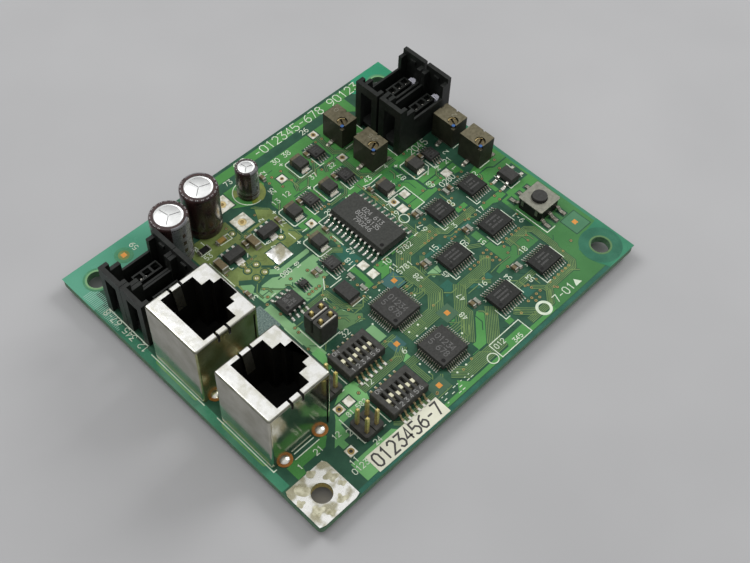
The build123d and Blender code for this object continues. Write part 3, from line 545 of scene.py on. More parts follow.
def build_chips():
    """Every leaded chip: body, leads and lands, with a pin mark and rows of faint ink."""
    for node, (count, pitch, reach, z0, z1, draft, thick, width, land, sides) in CHIPS.items():
        form, pads = Form(), Form()
        body = "epoxy_dark" if node.startswith("tssop") else "epoxy_pale" if node == "soic_24" else "epoxy"
        for low, high in islands(node):
            cx, cy = middle((low, high))
            hx, hy = (high.x - low.x) / 2, (high.y - low.y) / 2
            bx = hx - (reach if 0 in sides else 0)
            by = hy - (reach if 1 in sides else 0)
            moulded(form, cx - bx, cx + bx, cy - by, cy + by, TOP + z0, TOP + z1, draft, body)
            top = TOP + z1
            mark = min(0.45, 0.13 * min(bx, by) + 0.1)
            corner = (cx - bx + draft + 2 * mark, cy - by + draft + 2 * mark)
            form.lathe([(0, top - 0.05), (mark, top - 0.05), (mark, top + 0.006), (0, top + 0.006)],
                       corner, "black", 16)
            if node in PRINTS:
                chip_print(form, cx, cy, top, *PRINTS[node])
            elif min(bx, by) > 1.4:
                faint_rows(form, cx, cy, bx - draft, by - draft, top, upright=0 in sides and 1 not in sides)
            for side in sides:
                half = (bx, by, bx, by)[side]
                lead_row(form, pads, (cx, cy), half, side * math.pi / 2, count, pitch, reach,
                         (z0 + z1) / 2, thick, width, land)
        piece(node + "_form", form, replaces=[node])
        piece(node + "_lands", pads, smooth=True)


# node: rows of plain numbers, character height, ink, stroke
PRINTS = {
    "soic_24": (("024 613", "80246135", "790246"), 1.05, "print", 0.12),
    "qfp_48": (("01234", "5 678"), 1.25, "chip_ink", 0.16),
    "soic_8": (("0 24", "6813"), 0.75, "chip_ink", 0.13),
}


def chip_print(form, cx, cy, top, rows, size, ink, stroke):
    """Plain numbers on a chip, read towards -y."""
    for i, text in enumerate(rows):
        across = ((len(rows) - 1) / 2 - i) * 1.45 * size - size / 2
        y = cy + 0.4 * size * len(text)
        digits(form, text, cx + across, y, size, top - 0.02, top + 0.002, ink, stroke,
               -math.pi / 2, 0.82)


def faint_rows(form, cx, cy, hx, hy, top, upright=False):
    """Rows of short ink strokes where a chip carries its print."""
    long, wide = (hy, hx) if upright else (hx, hy)
    size = 0.2 * wide
    for row in (-1, 0, 1):
        across = row * 0.42 * wide
        at = -0.55 * long
        while at < 0.5 * long:
            step = size * random.choice((0.35, 0.6, 0.6, 0.9))
            u0, u1 = at, at + step * 0.7
            x0, x1, y0, y1 = (across, across + size, u0, u1) if upright else (u0, u1, across, across + size)
            if random.random() < 0.85:
                form.prism(rectangle(cx + x0, cx + x1, cy + y0, cy + y1), top - 0.02, top + 0.004, "faint")
            at += step


def build_regulators(pads):
    """Three legs on one side and a wide tab on the other."""
    form = Form()
    half_w, half_l = 2.25, 1.25
    lead_low, lead_high = TOP + 0.05, TOP + 0.4
    for low, high in islands("regulators"):
        cx, cy = middle((low, high))[0], low.y + 1.9
        moulded(form, cx - half_w, cx + half_w, cy - half_l, cy + half_l, TOP + 0.02, TOP + 1.5, 0.2)
        for x in (-1.5, 0, 1.5):
            form.block(cx + x - 0.22, cx + x + 0.22, cy + 1.0, cy + 1.95, lead_low, lead_high, "tin")
            pad(pads, (cx + x, cy), math.pi / 2, 1.5, 2.5, 0.7)
        form.block(cx - 0.85, cx + 0.85, cy - 1.85, cy - 1.0, lead_low, lead_high, "tin")
        pad(pads, (cx, cy), -math.pi / 2, 1.1, 2.5, 1.9)
    piece("regulators_form", form, replaces=["regulators"])


def build_bridge(pads):
    """Bridge rectifier with two leads on each long side."""
    form = Form()
    half_w, half_l = 1.55, 2.15
    cx, cy = middle(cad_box("bridge_rectifier"))
    moulded(form, cx - half_w, cx + half_w, cy - half_l, cy + half_l, TOP + 0.1, TOP + 1.8, 0.25)
    for side in (0, 2):
        lead_row(form, pads, (cx, cy), half_w, side * math.pi / 2, 2, 2.5, 1.6, 0.95, 0.2, 0.55,
                 (0.9, 2.0, 0.8))
    piece("bridge_rectifier_form", form, replaces=["bridge_rectifier"])


def build_oscillator(pads):
    """Small block on two metal feet."""
    form = Form()
    half_w, half_l = 1.6, 2.3
    cx, cy = middle(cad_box("oscillator"))
    moulded(form, cx - half_w, cx + half_w, cy - half_l, cy + half_l, TOP + 0.25, TOP + 1.5, 0.15)
    for side in (-1, 1):
        foot = cy + side * 2.15
        form.block(cx - 1.3, cx + 1.3, foot - 0.35, foot + 0.35, TOP, TOP + 0.3, "tin")
        pad(pads, (cx, cy), side * math.pi / 2, 1.9, 2.9, 2.9, paint="band")
    piece("oscillator_form", form, replaces=["oscillator"])


def build_tantalums(pads):
    """Moulded capacitors with a tinned end plate at each end."""
    form = Form()
    for box in islands("tantalum_capacitors"):
        cx, cy = middle(box)
        tantalum_body(form, cx, cy)
        for side, reach, wide in ((-1, 2.3, 2.25), (1, 2.05, 2.1)):
            y = cy + side * 1.75
            form.block(cx - 1.1, cx + 1.1, y - 0.12, y + 0.12, TOP + 0.05, TOP + 1.0, "tin", 0.03)
            pad(pads, (cx, cy), side * math.pi / 2, 1.4, reach, wide, 0.14)
    piece("tantalum_capacitors_form", form, replaces=["tantalum_capacitors"])


def build_power_parts():
    """Regulators, bridge rectifier, oscillator and tantalum capacitors."""
    pads = Form()
    for build in (build_regulators, build_bridge, build_oscillator, build_tantalums):
        build(pads)
    piece("power_part_lands", pads, smooth=True)


def tantalum_body(form, cx, cy):
    """Moulded block swept end to end, its positive end banded."""
    z0, z1, half_w, half_l, draft = TOP + 0.1, TOP + 1.9, 1.4, 1.75, 0.12
    seam = (z0 + z1) / 2

    def section(y, pull):
        w = half_w - pull
        return [(cx - w + draft, y, z0 + pull), (cx - w, y, seam), (cx - w + draft, y, z1 - pull),
                (cx + w - draft, y, z1 - pull), (cx + w, y, seam), (cx + w - draft, y, z0 + pull)]

    cut = cy + half_l - 0.8
    form.loft([section(cy - half_l, 0.08), section(cy - half_l + 0.08, 0), section(cut, 0)], "tantalum")
    form.loft([section(cut, 0), section(cy + half_l - 0.08, 0), section(cy + half_l, 0.08)], "band")


def chip_part(form, pads, box, body, along_y):
    """A small two-terminal part: coloured middle, tinned ends, solder at both ends."""
    (x0, y0, _), (x1, y1, z1) = box
    lo, hi = (y0, y1) if along_y else (x0, x1)
    end = min(0.32, 0.22 * (hi - lo) + 0.02)
    cuts = ((lo, lo + end, "cap_end", 0.0), (lo + end - 0.04, hi - end + 0.04, body, 0.03),
            (hi - end, hi, "cap_end", 0.0))
    for a, b, paint, pull in cuts:
        plan = (x0 + pull, x1 - pull, a, b) if along_y else (a, b, y0 + pull, y1 - pull)
        form.block(*plan, TOP + 0.04, z1 - pull, paint, 0.04)
    half, width = (hi - lo) / 2, (x1 - x0 if along_y else y1 - y0)
    for side in (0, 1):
        turn = side * math.pi + (math.pi / 2 if along_y else 0)
        pad(pads, middle(box), turn, half - 0.3, half + 0.2, width + 0.02, 0.14, "solder_dull")


def build_small_parts():
    """Chip capacitors, resistors and the larger ceramic blocks. Those that lie across differ in colour."""
    pads = Form()
    for node, body, across, slot in (("chip_capacitors", "brown", "brown", "ceramic_brown"),
                                     ("chip_resistors", "glaze", "black", "resistor_body"),
                                     ("ceramic_capacitors", "brown", "amber", "ceramic_brown")):
        form = Form()
        for box in islands(node):
            wide = box[1].x - box[0].x > box[1].y - box[0].y
            chip_part(form, pads, box, across if wide else body, along_y=not wide)
        piece(node + "_form", form, replaces=[node])
    piece("small_part_lands", pads, smooth=True)


# ------------------------------------------------------------------ tall parts
def build_jacks():
    """Steel shields, their black wells and the spring wires."""
    for k in (1, 2):
        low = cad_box(f"jack_{k}_shield")[0]

        def pick(normal, centre):
            # Painted light and shade on the shield: the flat top is bright steel; the rounded rim is a darker
            # copy as painted shade; the sides are a darker copy as painted shade and floor reflection, with
            # some dirt; the first jack's -y wall is an olive copy as a painted reflection of the green board.
            if normal.z > 0.1:
                return "steel" if normal.z > 0.97 else "steel_rim_shaded"
            return "steel_board_reflection" if k == 1 and normal.y < -0.5 and centre.y < low.y + 0.5 else "steel_side_shaded"

        soften(f"jack_{k}_shield", "steel", 0.07, pick)
        soften(f"jack_{k}_insert", "black", 0.1)
    soften("jack_contacts", "gold", 0.03)


def build_connectors():
    """Shrouds, forked contacts and the light coding keys."""
    for name in ("power_connector", "signal_connector"):
        for k in (1, 2):
            soften(f"{name}_{k}", "shroud", 0.12)
    soften("connector_contacts", "tin", 0.03)
    soften("coding_keys", "key", 0.08)


def groove_level(height):
    """Height of the waist groove of a can."""
    return TOP + 0.2 * height


def can_sleeve(form, at, radius, height, lip):
    """Shrunk film sleeve with a rolled rim, a soft waist groove and turned-in lip."""
    z0, z1, groove = TOP + 0.12, TOP + height, groove_level(height)
    film = 0.13
    profile = [(radius - film, z0), (radius - 0.03, z0), (radius, z0 + 0.15), (radius, groove - 0.35),
               (radius - 0.07, groove - 0.12), (radius - 0.07, groove + 0.12), (radius, groove + 0.35),
               (radius, z1 - 0.55), (radius - 0.06, z1 - 0.25), (radius - 0.28, z1 - 0.03),
               (radius - 0.5, z1), (radius - lip, z1 - 0.02), (radius - lip + 0.02, z1 - 0.1),
               (radius - 0.5, z1 - 0.12), (radius - film, z1 - 0.35)]
    form.lathe(profile, at, "film", 64)


def arc_plate(form, at, r0, r1, t0, t1, z0, z1, paint, steps=10):
    """A curved plate round an axis."""
    form.sweep([(r0, z0), (r1, z0), (r1, z1), (r0, z1)], at, t0, t1, paint, steps)


def can_stripe(form, at, radius, height, face):
    """Grey polarity stripe down one side and over the rim, with minus marks."""
    start, end = face - 0.62, face + 0.62
    z1, groove = TOP + height, groove_level(height)
    for low, high in ((TOP + 0.3, groove - 0.4), (groove + 0.4, z1 - 0.6)):
        arc_plate(form, at, radius - 0.05, radius + 0.008, start, end, low, high, "stripe")
    arc_plate(form, at, radius - 0.1, radius - 0.052, start, end, groove - 0.4, groove + 0.4, "stripe")
    rim = [(radius + 0.006, z1 - 0.6), (radius - 0.05, z1 - 0.235), (radius - 0.27, z1 - 0.015),
           (radius - 0.5, z1)]
    form.sweep(rim + [(r - 0.03, z - 0.04) for r, z in rim[::-1]], at, start, end, "stripe")
    z = TOP + 0.32 * height
    while z < z1 - 1.8:
        arc_plate(form, at, radius - 0.02, radius + 0.016, face - 0.09, face + 0.09, z, z + 1.0, "film", 3)
        z += 2.3


def rim_marks(form, at, radius, top, face):
    """Small pale marks printed round the rolled rim, clear of the stripe."""
    for k in range(14):
        turn = face + 0.95 + 0.31 * k
        for t in (turn - 0.05, turn + 0.05):
            arc_plate(form, at, radius - 0.52, radius - 0.22, t, t + 0.035, top - 0.13, top + 0.004,
                      "rim_ink", 2)
        if k % 3:
            arc_plate(form, at, radius - 0.4, radius - 0.33, turn - 0.05, turn + 0.08, top - 0.1, top + 0.003,
                      "rim_ink", 3)


# can, sleeve, radius, height, width of the sleeve's lip, half the lead pitch, where each stripe faces
CANS = (
    ("large_capacitors", "large_capacitor_sleeves", 4.0, 12.2, 1.05, 1.75, (1.1, -1.5)),
    ("small_capacitor", "small_capacitor_sleeve", 2.45, 8.4, 0.64, 1.0, (-1.3,)),
)


def build_capacitors():
    """Electrolytic cans with scored tops, sleeves and polarity stripes."""
    for node, sleeve, radius, height, lip, lead, faces in CANS:
        can, film = Form(), Form()
        for box, face in zip(islands(sleeve), faces):
            at = middle(box)
            rim_marks(film, at, radius, TOP + height, face)
            top = TOP + height - 0.1
            can_sleeve(film, at, radius, height, lip)
            can_stripe(film, at, radius, height, face)
            r = radius - 0.17
            can.lathe([(0, TOP + 0.35), (r, TOP + 0.35), (r, top - 0.08), (r - lip + 0.12, top - 0.06),
                       (r - lip - 0.08, top - 0.11), (r - lip - 0.2, top - 0.06), (0, top - 0.03)],
                      at, "can", 64)
            # Painted shade: the three scored vent lines are raised bars of darker grey.
            for k in range(3):
                score = turned(rectangle(0.1, 0.62 * r, -0.07, 0.07), at, math.radians(100 + 120 * k))
                can.prism(score, top - 0.3, top - 0.015, "groove")
            for side in (-1, 1):
                can.lathe([(0, 0), (0.28, 0.02), (0.3, 0.1), (0.3, TOP + 0.4), (0, TOP + 0.4)],
                          (at[0] + side * lead, at[1]), "tin", 12)
        piece(node + "_form", can, replaces=[node], smooth=True)
        piece(sleeve + "_form", film, replaces=[sleeve], smooth=True)


def build_trimmers():
    """Sealed trimmers with moulded tops painted lighter than their sides, and slotted screws."""
    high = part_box("trimmers")[1].z / MM
    print_low, print_high = high - 0.04, high - 0.006

    def pick(normal, centre):
        if centre.z < TOP + 0.55:
            # Painted shade: the leads low on the trimmers take the darker copy of tin.
            return "lead_dull"
        # Upward faces near the top take a lighter brown than the sides.
        return "shell_top" if normal.z > 0.6 and centre.z > high - 1.2 else "shell"

    soften("trimmers", "shell", 0.12, pick)
    marks, joints = Form(), Form()
    for box in islands("trimmers"):
        x0, y0, cy = box[0].x, box[0].y, middle(box)[1]
        marks.lathe([(0, high - 0.05), (0.4, high - 0.05), (0.34, high - 0.008), (0, high - 0.002)],
                    (x0 + 3.0, y0 + 4.9), "bump", 20)
        for text, y in (("501", 3.4), ("2", 2.1)):
            digits(marks, text, x0 + 4.9, y0 + y, 1.05, print_low, print_high, "bump", 0.15, math.pi / 2)
        # Painted highlight: a fixed bright brass crescent on the far rim of the screw, which stays put when
        # the screw turns.
        arc_plate(marks, (x0 + 2.95, y0 + 1.5), 0.93, 1.13, 0.2, 2.2, high - 0.35, high - 0.2, "brass", 14)
        marks.prism(circle(x0 + 1.95, y0 + 0.5, 0.42, 9), high - 0.05, high - 0.004, "paint", 0.02)
        joints.lathe([(0, TOP), (0.6, TOP), (0.5, TOP + 0.1), (0.2, TOP + 0.24), (0, TOP + 0.27)],
                     (x0 + 0.2, cy), "solder_dull", 16)
        joints.lathe([(0, TOP), (0.3, TOP), (0.2, TOP + 0.18), (0, TOP + 0.2)],
                     (x0 + 1.0, cy), "solder_dull", 12)
    piece("trimmer_marks", marks)
    piece("trimmer_joints", joints, smooth=True)
    for k in range(1, 5):
        soften(f"trimmer_screw_{k}", "screw", 0.06, body=f"screw_{k}")


SWITCH_WAYS, SWITCH_PITCH = 6, 1.27
TACT_PITCH = 2.55


def build_switches():
    """Slide switch blocks with pale sliders and printed numbers."""
    for k in (1, 2):
        node = f"slide_switch_{k}"
        low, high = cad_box(node)
        cx, cy = middle((low, high))
        print_low, print_high = high.z - 0.02, high.z + 0.004

        def pick(normal, centre):
            if abs(centre.y - cy) > 3.16 and centre.z < TOP + 1.6:
                return "lead_gilt"
            # Painted light: the inner faces of the slots take a lighter grey than the black body.
            inner = abs(centre.x - cx) < 4.0 and abs(centre.y - cy) < 2.2
            return "slot_painted_light" if inner and TOP + 0.8 < centre.z < high.z - 0.05 else "black_matte"

        soften(node, "black_matte", 0.07, pick)
        marks, pads = Form(), Form()
        for way in range(SWITCH_WAYS):
            x = cx + SWITCH_PITCH * (way - (SWITCH_WAYS - 1) / 2)
            slider = f"slider_{k}_{way + 1}"
            digits(marks, str(way + 1), x - 0.3, cy - 2.95, 0.88, print_low, print_high, "print", 0.1)
            soften(slider, "cream", 0.05, body=slider)
            for side, reach, wide in ((-1, 5.15, 0.62), (1, 4.6, 0.5)):
                pad(pads, (x, cy), side * math.pi / 2, 4.0, reach, wide, 0.16)
        digits(marks, "ON", cx - 3.75, cy + 2.1, 0.8, print_low, print_high, "print", 0.1)
        piece(f"slide_switch_{k}_print", marks)
        piece(f"slide_switch_{k}_lands", pads, smooth=True)


def build_button():
    """Push button: base with its leads, steel cover and the button."""
    cx, cy = middle(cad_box("tact_base"))

    def pick(normal, centre):
        # Painted shade: the leads take the darker copy of tin.
        return "lead_dull" if abs(centre.y - cy) > 3.11 and centre.z < TOP + 1.2 else "black"

    soften("tact_base", "black", 0.07, pick)
    soften("tact_cover", "cover", 0.05)
    soften("tact_button", "epoxy", 0.08, body="button")
    pads = Form()
    for i in (-1, 0, 1):
        for side in (-1, 1):
            pad(pads, (cx + TACT_PITCH * i, cy), side * math.pi / 2, 4.0, 5.6, 0.85, 0.1, "solder_dull")
    piece("tact_lands", pads, smooth=True)


def build_headers():
    """Pin headers, gold pins and the two shorting jumpers."""
    soften("pin_headers", "black_matte", 0.1)
    soften("header_pins", "gold", 0.04)
    for k in (1, 2):
        soften(f"shunt_{k}", "black_matte", 0.1, body=f"jumper_{k}")
        soften(f"shunt_clip_{k}", "tin", 0.03, body=f"jumper_{k}")


# ------------------------------------------------------------------ lettering
STROKES = {
    "0": [[(0.2, 0), (0, 0.2), (0, 0.8), (0.2, 1), (0.5, 1), (0.7, 0.8), (0.7, 0.2), (0.5, 0), (0.2, 0)]],
    "1": [[(0.15, 0.8), (0.4, 1), (0.4, 0)]],
    "2": [[(0, 0.8), (0.2, 1), (0.5, 1), (0.7, 0.8), (0.7, 0.6), (0, 0), (0.7, 0)]],
    "3": [[(0, 1), (0.7, 1), (0.3, 0.58), (0.55, 0.55), (0.7, 0.4), (0.7, 0.2), (0.5, 0), (0.2, 0),
        (0, 0.2)]],
    "4": [[(0.5, 0), (0.5, 1), (0, 0.3), (0.7, 0.3)]],
    "5": [[(0.65, 1), (0.05, 1), (0, 0.55), (0.45, 0.6), (0.7, 0.4), (0.7, 0.2), (0.5, 0), (0.2, 0),
        (0, 0.15)]],
    "6": [[(0.6, 1), (0.2, 0.8), (0, 0.45), (0, 0.2), (0.2, 0), (0.5, 0), (0.7, 0.2), (0.7, 0.4),
        (0.5, 0.58), (0.05, 0.45)]],
    "7": [[(0, 1), (0.7, 1), (0.25, 0)]],
    "8": [[(0.2, 0.55), (0, 0.75), (0.2, 1), (0.5, 1), (0.7, 0.75), (0.5, 0.55), (0.2, 0.55), (0, 0.3),
        (0, 0.2), (0.2, 0), (0.5, 0), (0.7, 0.2), (0.7, 0.3), (0.5, 0.55)]],
    "9": [[(0.1, 0), (0.5, 0.2), (0.7, 0.55), (0.7, 0.8), (0.5, 1), (0.2, 1), (0, 0.8), (0, 0.6),
        (0.2, 0.42), (0.65, 0.5)]],
    "-": [[(0.1, 0.5), (0.65, 0.5)]],
    "+": [[(0, 0.5), (0.7, 0.5)], [(0.35, 0.15), (0.35, 0.85)]],
    "N": [[(0, 0), (0, 1), (0.7, 0), (0.7, 1)]],
    " ": [],
}
STROKES["O"] = STROKES["0"]


def hair():
    """A hair of height, different at each call, so that no two faces share a plane."""
    STEP[0] = (STEP[0] + 7) % 23
    return HAIR * STEP[0]


def digits(form, text, x, y, size, z0, z1, paint, stroke, turn=0.0, squeeze=1.0):
    """Stroked characters from a lower-left corner."""
    for i, sign in enumerate(text):
        for line in STROKES[sign]:
            path = [((px + 0.98 * i) * size * squeeze, py * size) for px, py in line]
            form.track(turned(path, (x, y), turn), stroke, z0, z1 + hair(), paint)


def build_label():
    """Paper label with plain printed digits."""
    form = Form()
    low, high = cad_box("paper_label")
    centre = middle((low, high))
    half_l, half_w, turn = 9.2, 2.0, math.radians(-1.2)
    z0, z1 = low.z + 0.005, high.z - 0.012
    form.prism(turned(rectangle(-half_l, half_l, -half_w, half_w), centre, turn), z0, z1, "paper", 0.03)
    for i, sign in enumerate("0123456-7"):
        x, y = turned([(-8.5 + 1.92 * i, -1.35)], centre, turn)[0]
        digits(form, sign, x, y, 2.75, z1 - 0.02, z1 + 0.01, "dark_ink", 0.38, turn, 0.72)
    piece("paper_label_form", form, replaces=["paper_label"])


# ------------------------------------------------------------------ board and its artwork
def build_board():
    """The laminate. Hole walls show gilt plating in the quarter with the tinned corner."""
    def pick(normal, centre):
        if abs(normal.z) > 0.5:
            return "laminate"
        rim = abs(centre.x) > HALF_L - 1.2 or abs(centre.y) > HALF_W - 1.2
        return "edge" if rim or centre.y > 0 or centre.x > 0 else "gold"

    soften("circuit_board", "laminate", 0.08, pick)


def level(layer):
    """Height of a layer, a hair different at each call."""
    return TOP + LAYER[layer] + hair()


def plate(form, outline, layer, paint, under=False):
    """A thin flat area of the artwork, open where a mounting hole passes, on either side of the board."""
    outline = list(outline) if area(outline) > 0 else list(outline)[::-1]
    for centre in HOLES:
        if inside(centre, outline):
            outline = holed(outline, centre, ART_R)
    form.prism(outline, *span(layer, under), paint)


def span(layer, under):
    """Lowest and highest level of a layer on the top or the solder side."""
    height = level(layer)
    return (BOTTOM + TOP - height, BOTTOM + SINK) if under else (TOP - SINK, height)


def area(outline):
    """Signed area of an outline."""
    return sum(a[0] * b[1] - b[0] * a[1] for a, b in zip(outline, outline[1:] + outline[:1])) / 2


def inside(point, outline):
    """Whether a point lies in an outline."""
    x, y = point
    crossings = 0
    for (ax, ay), (bx, by) in zip(outline, outline[1:] + outline[:1]):
        if (ay > y) != (by > y) and x < ax + (y - ay) * (bx - ax) / (by - ay):
            crossings += 1
    return crossings % 2 == 1


def holed(outline, centre, r):
    """An outline with a round hole, joined to its nearest corner by a hair-wide slit."""
    near = min(range(len(outline)), key=lambda i: math.dist(outline[i], centre))
    start = math.atan2(outline[near][1] - centre[1], outline[near][0] - centre[0])
    slit, sides = 0.004, 40
    rim = []
    for i in range(sides + 1):
        t = start - (slit + (2 * math.pi - 2 * slit) * i / sides)
        rim.append((centre[0] + r * math.cos(t), centre[1] + r * math.sin(t)))
    return outline[:near + 1] + rim + outline[near:]


def line(form, path, width, layer, paint, under=False):
    """A thin drawn line of the artwork."""
    form.track(path, width, *span(layer, under), paint)


def bus(form, path, count, pitch, width=0.17, under=False):
    """Parallel lines that keep their spacing round corners, in a dark clearance."""
    line(form, path, count * pitch + 0.14, "gap", "laminate", under)
    for i in range(count):
        shift = pitch * (i - (count - 1) / 2)
        line(form, offset(path, shift), width, "track", "track", under)


